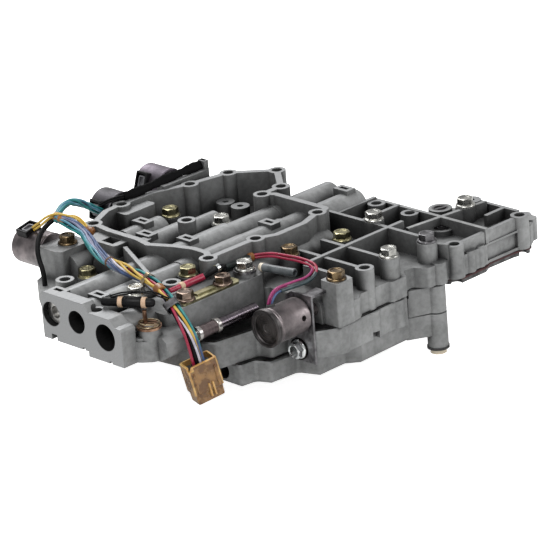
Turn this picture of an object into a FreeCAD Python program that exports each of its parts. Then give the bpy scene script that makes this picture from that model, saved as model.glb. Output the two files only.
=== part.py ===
import FreeCAD, Part
import math
import os

# Transmission valve body, in millimetres.
# In the layout X runs along the spool bores from the open end face, Y towards the shift solenoids, Z up.
# The origin of the written parts is the datum on the lower face, which seats on the transmission case.

Vector = FreeCAD.Vector
X_AXIS = Vector(1, 0, 0)
Y_AXIS = Vector(0, 1, 0)
Z_AXIS = Vector(0, 0, 1)

# Heights of the stack
LOWER_HEIGHT = 15.5
PLATE_THICKNESS = 1.0
MIDDLE_HEIGHT = 18.5
FLOOR_HEIGHT = 14.0
DECK_HEIGHT = 24.5
RIB_HEIGHT = 29.0
FRAME_HEIGHT = 39.0
GASKET_THICKNESS = 1.2
COVER_THICKNESS = 3.0
GASKET_SETBACK = -0.6
COVER_SETBACK = 0.6

Z_MIDDLE = LOWER_HEIGHT + PLATE_THICKNESS
Z_UPPER_PLATE = Z_MIDDLE + MIDDLE_HEIGHT
Z_UPPER = Z_UPPER_PLATE + PLATE_THICKNESS
Z_FLOOR = Z_UPPER + FLOOR_HEIGHT
Z_DECK = Z_UPPER + DECK_HEIGHT
Z_RIB = Z_UPPER + RIB_HEIGHT
Z_FRAME = Z_UPPER + FRAME_HEIGHT

# The case datum: this point of the layout becomes the origin
DATUM_X = 150.0
DATUM_Y = 20.0

# Fits and fasteners
RUNNING_FIT = 0.05
SEAT_GAP = 0.3
BOLT_RADIUS = 3.0
BOLT_ACROSS_FLATS = 10.0
BOLT_HEAD_HEIGHT = 6.0
BOLT_FLANGE_RADIUS = 6.6
BOLT_FLANGE_HEIGHT = 1.3
CASE_BOLT_HOLE_RADIUS = 3.6
BOSS_WALL = 2.6

# Casting walls
RIB_THICKNESS = 3.0
FRAME_WALL = 4.6
CORNER_RADIUS = 3.0
PLATE_SETBACK = 0.8
MIDDLE_BEVEL = 1.2
LOWER_BEVEL = 2.4

# Sloped underside of the middle casting under the manual valve: x at its top, x at its foot, y range
WEDGE = (22.0, 54.0, -7.5, 20.0)

# Spool bores that open in the end face, each with its plug key, depth and spool
BORE_WALL = 3.6
BORE_A = {"y": 66.4, "z": 57.4, "radius": 8.3, "spool": 7.0, "key_x": 8.0, "depth": 70.0}
BORE_B = {"y": 42.2, "z": 57.4, "radius": 7.7, "spool": 6.6, "key_x": 21.0, "depth": 80.0}
BORE_C = {"y": 15.6, "z": 53.1, "radius": 9.0, "spool": 6.4, "key_x": 31.0, "depth": 96.0}
BORES = {"a": BORE_A, "b": BORE_B, "c": BORE_C}

# Closed bores behind them, seen only as ridges
BORE_D_Y = 99.0
BORE_E_Y = 119.0
BORE_DE_Z = 57.0
RIDGE_DE_RADIUS = 10.0

# End block round the open bores
END_BLOCK_LENGTH = 9.0
END_BLOCK_LOW_LENGTH = 12.0
RIDGE_START = END_BLOCK_LENGTH - 1.0
END_BLOCK_A_TOP = 71.5
END_BLOCK_A_BOTTOM = 39.5
END_BLOCK_A_BACK = 75.6
END_BLOCK_STEP_Y = 33.0
END_BLOCK_C_TOP = 66.5

# Plug, spring and spool in each open bore
PLUG_FRONT = 4.0
PLUG_BACK = 5.0
PLUG_GROOVE_DEPTH = 3.0
SPOOL_LENGTH = 32.0
SPOOL_LAND = 7.0
SPOOL_STEM_RATIO = 0.52
SPRING_WIRE_RADIUS = 0.7
SPRING_TURNS = 3.5

# Retainer keys in slots across the bores
KEY_THICKNESS = 2.8
KEY_WIDTH = 7.0
KEY_HEIGHT = 8.0
KEY_FIT = 0.1
KEY_RECESS = 2.5
KEY_PAD_X = 8.4
KEY_PAD_Y = 13.0

# Manual valve
MANUAL_Y = -10.5
MANUAL_Z = 43.4
MANUAL_RADIUS = 4.6
MANUAL_NECK_RADIUS = 3.0
MANUAL_LAND = 7.0
MANUAL_COLLAR_RADIUS = 5.1
MANUAL_COLLAR_WIDTH = 3.2
MANUAL_COLLAR_X = 52.5
MANUAL_GROOVE_RADIUS = 4.3
MANUAL_GROOVE_LENGTH = 13.7
MANUAL_ROD_RADIUS = 3.9
MANUAL_ROD_LENGTH = 34.0
MANUAL_STEM_LENGTH = 21.5
MANUAL_BLOCK_X0 = 22.0
MANUAL_BLOCK_X1 = 46.0
MANUAL_BLOCK_FRONT = -17.0
MANUAL_BLOCK_TOP = 51.9

# Shift solenoids at the back
SHIFT_SOLENOIDS = [
    {"x": 66.5, "z": 62.5, "seat_y": 139.0, "end_y": 168.0, "socket_turn": -12.0},
    {"x": 139.0, "z": 67.0, "seat_y": 149.5, "end_y": 169.5, "socket_turn": -80.0},
    {"x": 183.0, "z": 71.0, "seat_y": 147.0, "end_y": 171.0, "socket_turn": -70.0},
]
SHIFT_RADIUS = 12.6
SHIFT_RIM = 1.4
SHIFT_NOSE_RADIUS = 6.0
SHIFT_NOSE_LENGTH = 3.0
SOCKET_WIDTH = 14.0
SOCKET_DEPTH = 11.0
SOCKET_HEIGHT = 15.5
SOCKET_SETBACK = 3.5

# Line pressure solenoid at the front
PRESSURE_X = 84.5
PRESSURE_LENGTH = 27.5
PRESSURE_Y = -45.0
PRESSURE_Z = 45.5
PRESSURE_RADIUS = 12.0
PRESSURE_CAP_RADIUS = 13.0
PRESSURE_CAP_WIDTH = 3.4
PRESSURE_NOSE_RADIUS = 5.0
PRESSURE_NOSE_LENGTH = 26.0
BRACKET_THICKNESS = 1.6
BRACKET_BOLT_Z = 21.0
BRACKET_BOLT_Y = -43.0
BRACKET_BOLT_LENGTH = 14.0

PRESSURE_SEAT_X = PRESSURE_X + PRESSURE_LENGTH
BRACKET_BACK_X = PRESSURE_SEAT_X + BRACKET_THICKNESS

# Oil column under the front right corner
COLUMN_X = 219.5
COLUMN_Y = -63.0
COLUMN_RADIUS = 7.0
COLUMN_FOOT = -8.5
COLUMN_TIP = -13.5
COLUMN_TUBE_RADIUS = 5.9
COLUMN_TIP_RADIUS = 5.4
COLUMN_TUBE_WALL = 1.4
COLUMN_SOCKET_DEPTH = 8.0
SEAL_THICKNESS = 1.6
SEAL_STAND = 0.5

# Deck fittings
RETAINER_THICKNESS = 1.5
Z_RETAINER = Z_DECK + RETAINER_THICKNESS
DECK_FRONT = -3.0
DECK_BOLT_Y = 3.6
WASHER_THICKNESS = 1.6
WASHER_SEAT_Z = 63.4
WASHER_RADIUS = 7.5

# Harness
LOOM_RADIUS = 3.4
SLEEVE_RADIUS = 2.3
LEAD_RADIUS = 1.7
CONNECTOR_SIZE = (21.0, 13.5, 27.5)
CONNECTOR_TOP = (40.2, -24.2, 33.8)
CONNECTOR_TURN = -18.0
CONNECTOR_LEAN = 12.0

# Bolts of the stack: seat place and height; each has a flanged hexagon head
BOLTS = {
    "deck_bolts": [(59.5, DECK_BOLT_Y, Z_RETAINER), (92.9, DECK_BOLT_Y, Z_RETAINER)],
    "zinc_bolts": [(184.6, -57.3, 64.5), (225.6, -4.8, 65.5), (288.5, -29.5, 61.0), (169.0, 83.4, 62.0),
                   (39.0, 27.0, 67.0)],
    "yellow_bolts": [(197.0, -2.4, 60.0), (160.0, 124.0, 62.0), (84.5, 26.8, 65.5), (64.0, 103.0, 54.0)],
    "brass_bolts": [(133.5, -59.4, 66.0), (69.0, 126.0, 71.0), (150.5, 0.0, 64.0)],
    "column_bolt": [(219.0, -58.8, 64.0)],
    "washer_bolt": [(113.5, 4.2, WASHER_SEAT_Z + WASHER_THICKNESS)],
}
BOLT_LENGTHS = {
    "deck_bolts": 14.0,
    "zinc_bolts": 20.0,
    "yellow_bolts": 16.0,
    "brass_bolts": 25.0,
    "column_bolt": 26.0,
    "washer_bolt": 20.0,
}

# Open case bolt holes through the upper casting, and the rim height of those outside the frame
FRAME_HOLES = [(97.0, 131.0), (133.0, 142.5), (187.0, 132.0), (218.0, 126.0), (240.5, 101.0),
               (219.0, 75.5), (201.0, 75.5), (197.0, 19.0), (139.0, 19.0), (96.5, 19.5)]
ISLAND_HOLE = (137.0, 82.5)
DECK_HOLES = [(299.7, -68.0, 59.0), (235.1, -68.0, 59.0), (161.8, -57.0, 64.0), (258.3, 24.4, 61.0),
              (259.3, -5.5, 60.0), (69.5, 26.8, 65.5), (27.0, 82.0, 69.0), (7.0, 29.6, 66.5)]
SLOTTED_PLUGS = [(287.5, -7.0, 55.0), (262.0, -32.0, 54.0)]
SLOTTED_PLUG_RADIUS = 5.6
PLUG_RIM = 1.2
PLUG_BAR = 2.0
PLUG_RECESS = 1.6
SMALL_BOSSES = [(204.0, 116.0, 60.0), (204.0, 101.5, 60.0), (303.5, -21.5, 59.0)]
SMALL_BOSS_RADIUS = 6.5
SMALL_HOLE_RADIUS = 2.2

# Bulges down the outer side of the extension, and a solid post inside the frame: (x, y, low, high)
SIDE_RECESS = (264.0, 294.0, -80.0, -68.6, 38.0, 48.5)
SIDE_BULGES = [(247.5, -68.0, 5.0), (258.0, -68.0, 4.0), (221.0, -66.0, 5.5), (315.0, -63.0, 5.0)]
FRAME_POST = (109.0, 93.5, Z_FLOOR, 68.0)

# Pads with key slots on closed stretches of the ridges
RIDGE_KEYS = [(122.0, 66.4, 70.5), (174.0, 42.2, 70.5), (130.0, 119.0, 69.0), (115.0, 99.0, 69.0),
              (249.0, 45.0, 70.5)]

# Plan outlines of the castings
UPPER_OUTLINE = [
    (10, 2), (13, -3), (17, -7.5), (24, -9.5), (MANUAL_BLOCK_X1, -10.5), (MANUAL_BLOCK_X1, -2), (126, -2),
    (126, -52), (130, -66), (146, -66), (152, -62), (176, -62), (178, -65), (192, -65), (196, -58),
    (204, -58), (210, -68), (229, -68), (233, -71.5), (262, -71), (266, -70), (292, -70.5), (306, -72),
    (318, -65), (325.5, -54), (320, -44), (310, -34), (310, -16), (296, 2), (284, 2), (266, -8), (266, 33),
    (252, 33), (258, 36), (258, 81), (231, 81), (248, 101), (223, 132), (206, 139), (57, 139), (46, 134), (26, 104), (13, 84), (9.5, 76),
]
MIDDLE_OUTLINE = [
    (53, 6), (64, -16), (96, -22), (98, -32), (BRACKET_BACK_X, -33), (BRACKET_BACK_X, -56), (128, -65),
    (192, -64), (198, -56), (207, -52), (207, 20), (216, 40), (216, 112), (190, 128), (112, 130), (62, 122),
    (53, 96),
]
LOWER_OUTLINE = [
    (78, -22), (90, -24), (94, -34), (116, -36), (121.5, -51), (145, -51), (153, -58), (204.5, -57),
    (207, -40), (207, 30), (196, 48), (196, 100), (160, 112), (112, 104), (104, 84), (78, 78),
]
EXTENSION_OUTLINE = [
    (230, -64), (236, -71), (262, -71), (268, -68), (292, -69), (305, -72), (315, -63), (321, -54),
    (306, -35), (306, -15), (294, 0), (283, 0), (264, -10), (264, 30), (230, 30),
]

# The raised frame that carries the strainer gasket, along the middle of its wall
FRAME_LINE = [
    (97, 131), (118, 141.5), (133, 142.5), (160, 142), (187, 132), (218, 126), (240.5, 101), (219, 75.5),
    (201, 75.5), (206, 68), (206, 18), (197, 19), (178, 12.5), (152, 12.5), (139, 19), (97, 19.5), (103, 28),
    (103, 40), (99, 54), (91, 71), (94, 84), (94, 112),
]


def point(x, y, z=0.0):
    """A point of the layout as a vector."""
    return Vector(x, y, z)


def box(x0, x1, y0, y1, z0, z1):
    """A block between two corners."""
    return Part.makeBox(x1 - x0, y1 - y0, z1 - z0, point(x0, y0, z0))


def post(x, y, z0, z1, radius):
    """An upright round post."""
    return Part.makeCylinder(radius, z1 - z0, point(x, y, z0), Z_AXIS)


def bar_x(x0, x1, y, z, radius):
    """A round bar along X."""
    return Part.makeCylinder(radius, x1 - x0, point(x0, y, z), X_AXIS)


def bar_y(y0, y1, x, z, radius):
    """A round bar along Y."""
    return Part.makeCylinder(radius, y1 - y0, point(x, y0, z), Y_AXIS)


def fuse(solids):
    """One solid from pieces that overlap or touch."""
    solids = list(solids)
    if len(solids) == 1:
        return solids[0]
    return solids[0].fuse(solids[1:]).removeSplitter()


def cut(solid, tools):
    """The solid less every tool."""
    return solid.cut(Part.makeCompound(list(tools)))


def path_edges(points, radius, closed):
    """Straight runs joined by tangent arcs, with the radii of the arcs.

    An arc takes at most 0.45 of the shorter run beside it. Corners that turn very little stay sharp.
    """
    count = len(points)
    starts, ends, edges, radii = {}, {}, [], []
    corners = range(count) if closed else range(1, count - 1)
    for i in corners:
        before, here, after = points[i - 1], points[i], points[(i + 1) % count]
        into, out = (before - here).normalize(), (after - here).normalize()
        half = into.getAngle(out) / 2
        if closed and half > math.radians(66):
            continue
        reach = 0.45 * min((before - here).Length, (after - here).Length)
        if radius:
            reach = min(radius / math.tan(half), reach)
        bend = reach * math.tan(half)
        middle = here + (into + out).normalize() * (bend / math.sin(half) - bend)
        starts[i], ends[i] = here + into * reach, here + out * reach
        radii.append(bend)
        edges.append(Part.Arc(starts[i], middle, ends[i]).toShape())
    for i in range(count if closed else count - 1):
        j = (i + 1) % count
        begin, finish = ends.get(i, points[i]), starts.get(j, points[j])
        if (finish - begin).Length > 1e-6:
            edges.append(Part.LineSegment(begin, finish).toShape())
    return Part.__sortEdges__(edges), radii


def outline_wire(points, z, radius):
    """A closed wire at height z through (x, y) corners, rounded."""
    edges, radii = path_edges([point(x, y, z) for x, y in points], radius, True)
    return Part.Wire(edges)


def slab(points, z0, z1, radius=CORNER_RADIUS):
    """A flat casting: a rounded outline raised from z0 to z1."""
    return Part.Face(outline_wire(points, z0, radius)).extrude(point(0, 0, z1 - z0))


def bevelled(solid, z, size):
    """The solid with the outer edges at height z bevelled."""
    edges = [edge for edge in solid.Edges if all(abs(vertex.Z - z) < 1e-6 for vertex in edge.Vertexes)]
    return solid.makeChamfer(size, edges)


def sheet_from(points, z0, thickness, setback):
    """A plate that follows a casting's outline, set back from its edge."""
    face = Part.Face(outline_wire(points, z0, CORNER_RADIUS).makeOffset2D(-setback))
    return face.extrude(point(0, 0, thickness))


def ring_wall(points, thickness, z0, z1, radius):
    """A closed upright wall of even thickness along a rounded outline."""
    centre = outline_wire(points, z0, radius)
    faces = [Part.Face(centre.makeOffset2D(side * thickness / 2)) for side in (1, -1)]
    inner, outer = sorted(faces, key=lambda face: face.Area)
    return outer.cut(inner).extrude(point(0, 0, z1 - z0))


def rib(start, end, z0, z1, thickness=RIB_THICKNESS):
    """A straight upright rib between two plan points."""
    begin, finish = point(start[0], start[1], z0), point(end[0], end[1], z0)
    side = Z_AXIS.cross(finish - begin).normalize() * (thickness / 2)
    corners = [begin + side, finish + side, finish - side, begin - side, begin + side]
    return Part.Face(Part.makePolygon(corners)).extrude(point(0, 0, z1 - z0))


def ridge(x0, x1, y, z, radius, z_base):
    """The outside of a bore in a casting: a round back on straight flanks."""
    left, right = point(x0, y - radius, z), point(x0, y + radius, z)
    low_left, low_right = point(x0, y - radius, z_base), point(x0, y + radius, z_base)
    edges = [
        Part.Arc(left, point(x0, y, z + radius), right).toShape(),
        Part.LineSegment(right, low_right).toShape(),
        Part.LineSegment(low_right, low_left).toShape(),
        Part.LineSegment(low_left, left).toShape(),
    ]
    return Part.Face(Part.Wire(edges)).extrude(X_AXIS * (x1 - x0))


def prism_x(points, x0, x1):
    """A prism along X from (y, z) corners."""
    corners = [point(x0, y, z) for y, z in points]
    corners.append(corners[0])
    return Part.Face(Part.makePolygon(corners)).extrude(X_AXIS * (x1 - x0))


def prism_y(points, y0, y1):
    """A prism along Y from (x, z) corners."""
    corners = [point(x, y0, z) for x, z in points]
    corners.append(corners[0])
    return Part.Face(Part.makePolygon(corners)).extrude(Y_AXIS * (y1 - y0))


def turned_x(profile, x0, y, z):
    """A part turned about an axis along X: (distance along, radius) corners from x0."""
    corners = [point(x0 + along, y, z + radius) for along, radius in profile]
    corners = [point(x0 + profile[0][0], y, z)] + corners + [point(x0 + profile[-1][0], y, z)]
    corners.append(corners[0])
    face = Part.Face(Part.makePolygon(corners))
    return face.revolve(point(x0, y, z), X_AXIS, 360)


def tube(points, radius):
    """A cord: a round section carried along straight runs and tangent arcs. Also gives its radii."""
    corners = [point(*p) for p in points]
    edges, radii = path_edges(corners, 0, False)
    path = Part.Wire(edges)
    start = path.Vertexes[0].Point
    along = (corners[1] - corners[0]).normalize()
    if (start - corners[0]).Length > 1e-6:
        start, along = corners[-1], (corners[-2] - corners[-1]).normalize()
    circle = Part.Wire(Part.Circle(start, along, radius).toShape())
    solid = path.makePipeShell([circle], True, False)
    expected = math.pi * radius ** 2 * path.Length
    least = min(radii) if radii else 0
    print("   cord %.1f long, least bend %.1f, volume ratio %.4f" % (path.Length, least, solid.Volume / expected))
    return solid


def coil_spring(x0, x1, y, z, radius):
    """A wire coil along X, its wire a square on edge."""
    pitch = (x1 - x0 - 2 * SPRING_WIRE_RADIUS) / SPRING_TURNS
    helix = Part.makeHelix(pitch, pitch * SPRING_TURNS, radius)
    section = [point(radius + SPRING_WIRE_RADIUS * math.cos(math.radians(90 * k)), 0,
                     SPRING_WIRE_RADIUS * math.sin(math.radians(90 * k))) for k in range(5)]
    solid = Part.Wire(helix.Edges).makePipeShell([Part.makePolygon(section)], True, True)
    solid.rotate(point(0, 0, 0), Y_AXIS, 90)
    solid.translate(point(x0 + SPRING_WIRE_RADIUS, y, z))
    return solid


def export(node, solids):
    """Write one node, moved so that the case datum is the origin."""
    placed = [solid.translated(Vector(-DATUM_X, -DATUM_Y, 0)) for solid in solids]
    placed = [inner for solid in placed for inner in solid.Solids]
    result = placed[0] if len(placed) == 1 else Part.makeCompound(placed)
    result.exportStep("parts/%s.step" % node)
    valid = all(solid.isValid() for solid in placed)
    print("%-22s solids %2d  volume %9.0f  valid %s" % (node, len(placed), result.Volume, valid))


def bolt(seat, length, axis=Z_AXIS):
    """A flanged hexagon bolt: its head on the seat, its shank down the axis."""
    corner = BOLT_ACROSS_FLATS / 2 / math.cos(math.radians(30))
    hexagon = [point(corner * math.cos(math.radians(60 * k + 12)), corner * math.sin(math.radians(60 * k + 12)),
                     BOLT_FLANGE_HEIGHT) for k in range(7)]
    head = Part.Face(Part.makePolygon(hexagon)).extrude(Z_AXIS * (BOLT_HEAD_HEIGHT - BOLT_FLANGE_HEIGHT))
    flange = post(0, 0, 0, BOLT_FLANGE_HEIGHT, BOLT_FLANGE_RADIUS)
    solid = fuse([flange, head, post(0, 0, -length, 0, BOLT_RADIUS)])
    solid.Placement = FreeCAD.Placement(seat, FreeCAD.Rotation(Z_AXIS, axis))
    return solid


def bolt_holes(z_low, z_high):
    """Tapped holes for every bolt shank in the layers between two heights."""
    tools = []
    for node, seats in BOLTS.items():
        for x, y, seat in seats:
            foot = seat - BOLT_LENGTHS[node] - 2.0
            if foot < z_high and seat > z_low:
                tools.append(post(x, y, max(foot, z_low - 1), min(seat, z_high) + 1, BOLT_RADIUS + RUNNING_FIT))
    return tools


def case_holes(z_low, z_high, holes):
    """Clearance holes for the case bolts through one layer."""
    return [post(hole[0], hole[1], z_low - 1, z_high + 1, CASE_BOLT_HOLE_RADIUS) for hole in holes]


def end_block():
    """The block round the open bore ends, with its step and bevels."""
    back, step = END_BLOCK_A_BACK, END_BLOCK_STEP_Y
    tall = prism_x([
        (step - 3, END_BLOCK_A_BOTTOM), (back, END_BLOCK_A_BOTTOM), (back, END_BLOCK_A_TOP - 2),
        (back - 3, END_BLOCK_A_TOP), (step + 2, END_BLOCK_A_TOP), (step - 3, END_BLOCK_C_TOP)],
        0, END_BLOCK_LENGTH)
    low = prism_x([
        (0, Z_UPPER), (step, Z_UPPER), (step, END_BLOCK_C_TOP), (11, END_BLOCK_C_TOP),
        (5.5, END_BLOCK_C_TOP - 4.5), (1.5, END_BLOCK_C_TOP - 5), (0, END_BLOCK_C_TOP - 6.5)],
        0, END_BLOCK_LOW_LENGTH)
    return [tall, low]


def bore_ridges():
    """The round backs of the spool bores, stepped as the bores inside are."""
    a_wall, b_wall, c_wall = [bore["radius"] + BORE_WALL for bore in BORES.values()]
    d_wall = RIDGE_DE_RADIUS
    rows = [
        (BORE_A["y"], BORE_A["z"], Z_FLOOR, [(RIDGE_START, 60, a_wall), (60, 104, a_wall - 0.8), (104, 158, a_wall - 0.2),
                                             (158, 200, a_wall - 1.6), (200, 257, a_wall - 1.0)]),
        (BORE_B["y"], BORE_B["z"], Z_FLOOR, [(RIDGE_START, 70, b_wall), (70, 90, b_wall - 0.3), (90, 150, b_wall + 0.3),
                                             (150, 186, b_wall), (186, 257, b_wall - 0.8)]),
        (BORE_C["y"], BORE_C["z"], Z_UPPER + 1, [(RIDGE_START, 50, c_wall - 1.4), (50, 200, c_wall - 2.6)]),
        (BORE_D_Y, BORE_DE_Z, Z_FLOOR, [(74, 110, d_wall - 0.8), (110, 150, d_wall), (150, 178, d_wall - 2)]),
        (BORE_E_Y, BORE_DE_Z, Z_FLOOR, [(62, 112, d_wall - 1), (112, 146, d_wall)]),
    ]
    return [ridge(x0, x1, y, z, radius, base - 1) for y, z, base, runs in rows for x0, x1, radius in runs]


def solenoid_seats():
    """The blocks at the back that the shift solenoids plug into, and the boss of the front one."""
    (first, first_y, first_z), (second, second_y, second_z), (third, third_y, third_z) = [
        (solenoid["x"], solenoid["seat_y"], solenoid["z"]) for solenoid in SHIFT_SOLENOIDS]
    lug_x = STRAP_ROUTE[-1][0]
    return [
        slab([(first - 11, 117), (first + 14, 117), (first + 16, first_y), (first - 13, first_y),
              (first - 13, 123)], Z_UPPER, first_z + 8),
        slab([(second - 14, second_y - 20), (second + 14, second_y - 20), (second + 14, second_y),
              (second - 14, second_y)], Z_UPPER, second_z + 5),
        slab([(third - 14, third_y - 8.5), (third + 30, third_y - 8.5), (third + 30, third_y),
              (third - 14, third_y)], Z_UPPER, third_z + 6, 2.0),
        box(lug_x, third + 30, third_y - 7, third_y - 0.5, third_z + 5, third_z + 12),
        ridge(124, 152, PRESSURE_Y, PRESSURE_Z, PRESSURE_NOSE_RADIUS + 3.5, Z_UPPER),
    ]


def open_ribs():
    """The stiffening ribs of the open right half and the web beside the end block."""
    lines = [
        ((143, -21), (236, -21), Z_RIB), ((222, 34), (222, -52), Z_RIB), ((143, -21), (143, -56), Z_RIB - 1),
        ((160.5, 2), (160.5, -54), Z_RIB - 1), ((182.5, 2), (182.5, -54), Z_RIB - 1),
        ((222, -52), (230, -68), Z_RIB - 4.5), ((222, 10), (265, 10), Z_RIB - 4), ((222, 32), (265, 32), Z_RIB - 3),
        ((265, 32), (265, -70), Z_RIB - 4.5), ((236, -25), (304, -34), Z_RIB - 4.5),
        ((230, -68), (300, -68), Z_RIB - 6.5), ((307, -21), (307, -60), Z_RIB - 7),
        ((288, -48), (307, -48), Z_RIB - 7), ((86, 88.5), (57.5, 31), Z_RIB + 6), ((204, 116), (204, 101.5), 57.0),
        ((204, 116), (218, 126), 57.0),
    ]
    return [rib(start, end, Z_UPPER + 2, top) for start, end, top in lines]


def seat_bosses():
    """Round bosses under bolt heads and round open holes."""
    radius = CASE_BOLT_HOLE_RADIUS + BOSS_WALL
    bosses = []
    for node, seats in BOLTS.items():
        under = {"deck_bolts": RETAINER_THICKNESS, "washer_bolt": WASHER_THICKNESS}.get(node, 0.0)
        bosses += [post(x, y, Z_UPPER, seat - under, radius + 0.6) for x, y, seat in seats]
    bosses += [post(x, y, Z_UPPER, rim, radius) for x, y, rim in DECK_HOLES]
    bosses += [post(x, y, Z_FLOOR - 1, Z_FRAME, radius) for x, y in FRAME_HOLES + [ISLAND_HOLE]]
    bosses += [post(x, y, Z_UPPER, rim, SLOTTED_PLUG_RADIUS + BOSS_WALL) for x, y, rim in SLOTTED_PLUGS]
    bosses += [post(x, y, Z_UPPER, rim, SMALL_BOSS_RADIUS) for x, y, rim in SMALL_BOSSES]
    # bulges down the outer side of the extension, and the solid post beside the frame
    bosses += [post(x, y, Z_UPPER, Z_FLOOR + 1, radius) for x, y, radius in SIDE_BULGES]
    bosses.append(post(*FRAME_POST, 3.6))
    return bosses


def key_pockets():
    """(x, y, lowest point, top) of each retainer key's slot."""
    pockets = []
    for bore in BORES.values():
        crown = bore["z"] + bore["radius"]
        inside = bore["key_x"] < END_BLOCK_LENGTH
        top = END_BLOCK_A_TOP if inside else crown + BORE_WALL + 1.2
        pockets.append((bore["key_x"], bore["y"], crown - PLUG_GROOVE_DEPTH + SEAT_GAP, top))
    pockets += [(x, y, top - KEY_HEIGHT, top) for x, y, top in RIDGE_KEYS]
    return pockets


def key_block(pocket, fit, proud):
    """A block the size of a key, or of its slot with the fit added."""
    x, y, low, top = pocket
    half_x, half_y = KEY_THICKNESS / 2 + fit, KEY_WIDTH / 2 + fit
    return box(x - half_x, x + half_x, y - half_y, y + half_y, low, top + proud)


def upper_body():
    """The top casting: floor, end block, bore ridges, strainer frame, deck, ribs and bosses."""
    parts = [slab(UPPER_OUTLINE, Z_UPPER, Z_FLOOR)]
    parts += end_block() + bore_ridges() + solenoid_seats() + open_ribs() + seat_bosses()
    parts.append(ring_wall(FRAME_LINE, FRAME_WALL, Z_FLOOR - 1, Z_FRAME, 7.0))
    # sensor column, manual valve block, deck over the front bore and the block at the pressure solenoid
    parts.append(post(SENSOR_COLUMN[0], SENSOR_COLUMN[1], Z_UPPER, SENSOR_COLUMN[2], SENSOR_COLUMN_RADIUS))
    parts.append(post(SENSOR_COLUMN[0] - 5, SENSOR_COLUMN[1] + 3, Z_UPPER, SENSOR_COLUMN[2] - 5, 5.0))
    parts.append(box(10, 36, 3, 30, Z_UPPER, SENSOR_COLUMN[2] - 2))
    parts.append(slab([(36, DECK_FRONT), (36, 26), (132, 26), (132, 6), (122, DECK_FRONT)], Z_UPPER, Z_DECK))
    front, crown = MANUAL_BLOCK_FRONT, MANUAL_BLOCK_TOP
    parts.append(prism_x([(2, Z_UPPER), (front + 6, Z_UPPER), (front, Z_UPPER + 3.5), (front, crown - 3),
                          (front + 4, crown), (2, crown)], MANUAL_BLOCK_X0, MANUAL_BLOCK_X1))
    parts.append(slab([(126, -67), (141, -67), (143, -52), (126, -52)], Z_UPPER, 66.0, 1.5))
    # platform with a recess beside the frame
    parts.append(slab([(80, 92), (94, 92), (94, 122), (84, 122), (80, 112)], Z_FLOOR - 1, Z_FRAME - 3))
    parts += [box(x - KEY_PAD_X / 2, x + KEY_PAD_X / 2, y - KEY_PAD_Y / 2, y + KEY_PAD_Y / 2, Z_FLOOR, top)
              for x, y, low, top in key_pockets()]
    body = fuse(parts)
    tools = []
    for bore in BORES.values():
        mouth = bore["key_x"] + PLUG_BACK + SEAT_GAP
        tools.append(bar_x(-1, mouth, bore["y"], bore["z"], bore["radius"]))
        tools.append(bar_x(mouth - 1, bore["depth"], bore["y"], bore["z"], bore["spool"]))
    tools.append(bar_x(MANUAL_BLOCK_X1 - MANUAL_STEM_LENGTH - SEAT_GAP, MANUAL_BLOCK_X1 + 1, MANUAL_Y, MANUAL_Z,
                       MANUAL_RADIUS + RUNNING_FIT))
    tools.append(bar_x(120, BRACKET_BACK_X + PRESSURE_NOSE_LENGTH + 1, PRESSURE_Y, PRESSURE_Z,
                       PRESSURE_NOSE_RADIUS + RUNNING_FIT))
    tools += [bar_y(solenoid["seat_y"] - SHIFT_NOSE_LENGTH - SEAT_GAP, solenoid["seat_y"] + 1, solenoid["x"],
                    solenoid["z"], SHIFT_NOSE_RADIUS + RUNNING_FIT) for solenoid in SHIFT_SOLENOIDS]
    tools += bolt_holes(Z_UPPER, Z_FRAME + 5)
    tools += case_holes(Z_UPPER, Z_FRAME, FRAME_HOLES + [ISLAND_HOLE] + DECK_HOLES)
    tools += [post(x, y, rim - 6, rim + 1, SLOTTED_PLUG_RADIUS + RUNNING_FIT) for x, y, rim in SLOTTED_PLUGS]
    tools += [post(x, y, rim - 10, rim + 1, SMALL_HOLE_RADIUS) for x, y, rim in SMALL_BOSSES]
    tools += [key_block(pocket, KEY_FIT, 2) for pocket in key_pockets()]
    tools.append(box(83, 91, 97, 108, Z_FRAME - 13, Z_FRAME))
    tools.append(box(*SIDE_RECESS))
    # square notches in the lower edge of the end face
    tools += [box(-1, 6, y, y + width, z - 1, z + width - 1)
              for y, width, z in ((63, 5, END_BLOCK_A_BOTTOM), (36, 2.5, END_BLOCK_A_BOTTOM), (11, 2.5, Z_UPPER))]
    return cut(body, tools)


def middle_body():
    """The casting between the two separator plates, with bosses down its front."""
    parts = [bevelled(slab(MIDDLE_OUTLINE, Z_MIDDLE, Z_UPPER_PLATE), Z_UPPER_PLATE, MIDDLE_BEVEL)]
    x0, x1, y0, y1 = WEDGE
    parts.append(prism_y([(x0, Z_UPPER_PLATE), (x1 + 5, Z_UPPER_PLATE), (x1 + 5, Z_MIDDLE + 0.5), (x1, Z_MIDDLE + 0.5)],
                         y0, y1))
    parts += [post(x, -59.0, Z_MIDDLE, Z_UPPER_PLATE, 6.8) for x in (133.5, 161.8, 184.6)]
    parts += [post(COLUMN_X, COLUMN_Y, Z_MIDDLE, Z_UPPER_PLATE, COLUMN_RADIUS),
              rib((200, -54), (COLUMN_X, COLUMN_Y), Z_MIDDLE, Z_UPPER_PLATE, 9.0)]
    tools = bolt_holes(Z_MIDDLE, Z_UPPER_PLATE)
    tools.append(bar_x(BRACKET_BACK_X - 1, BRACKET_BACK_X + BRACKET_BOLT_LENGTH, BRACKET_BOLT_Y, BRACKET_BOLT_Z,
                       BOLT_RADIUS + RUNNING_FIT))
    tools += [box(158, 163, -70, -62, Z_MIDDLE - 1, Z_MIDDLE + 5), box(194, 199, -70, -55, 30, 36)]
    return cut(fuse(parts), tools)


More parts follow.
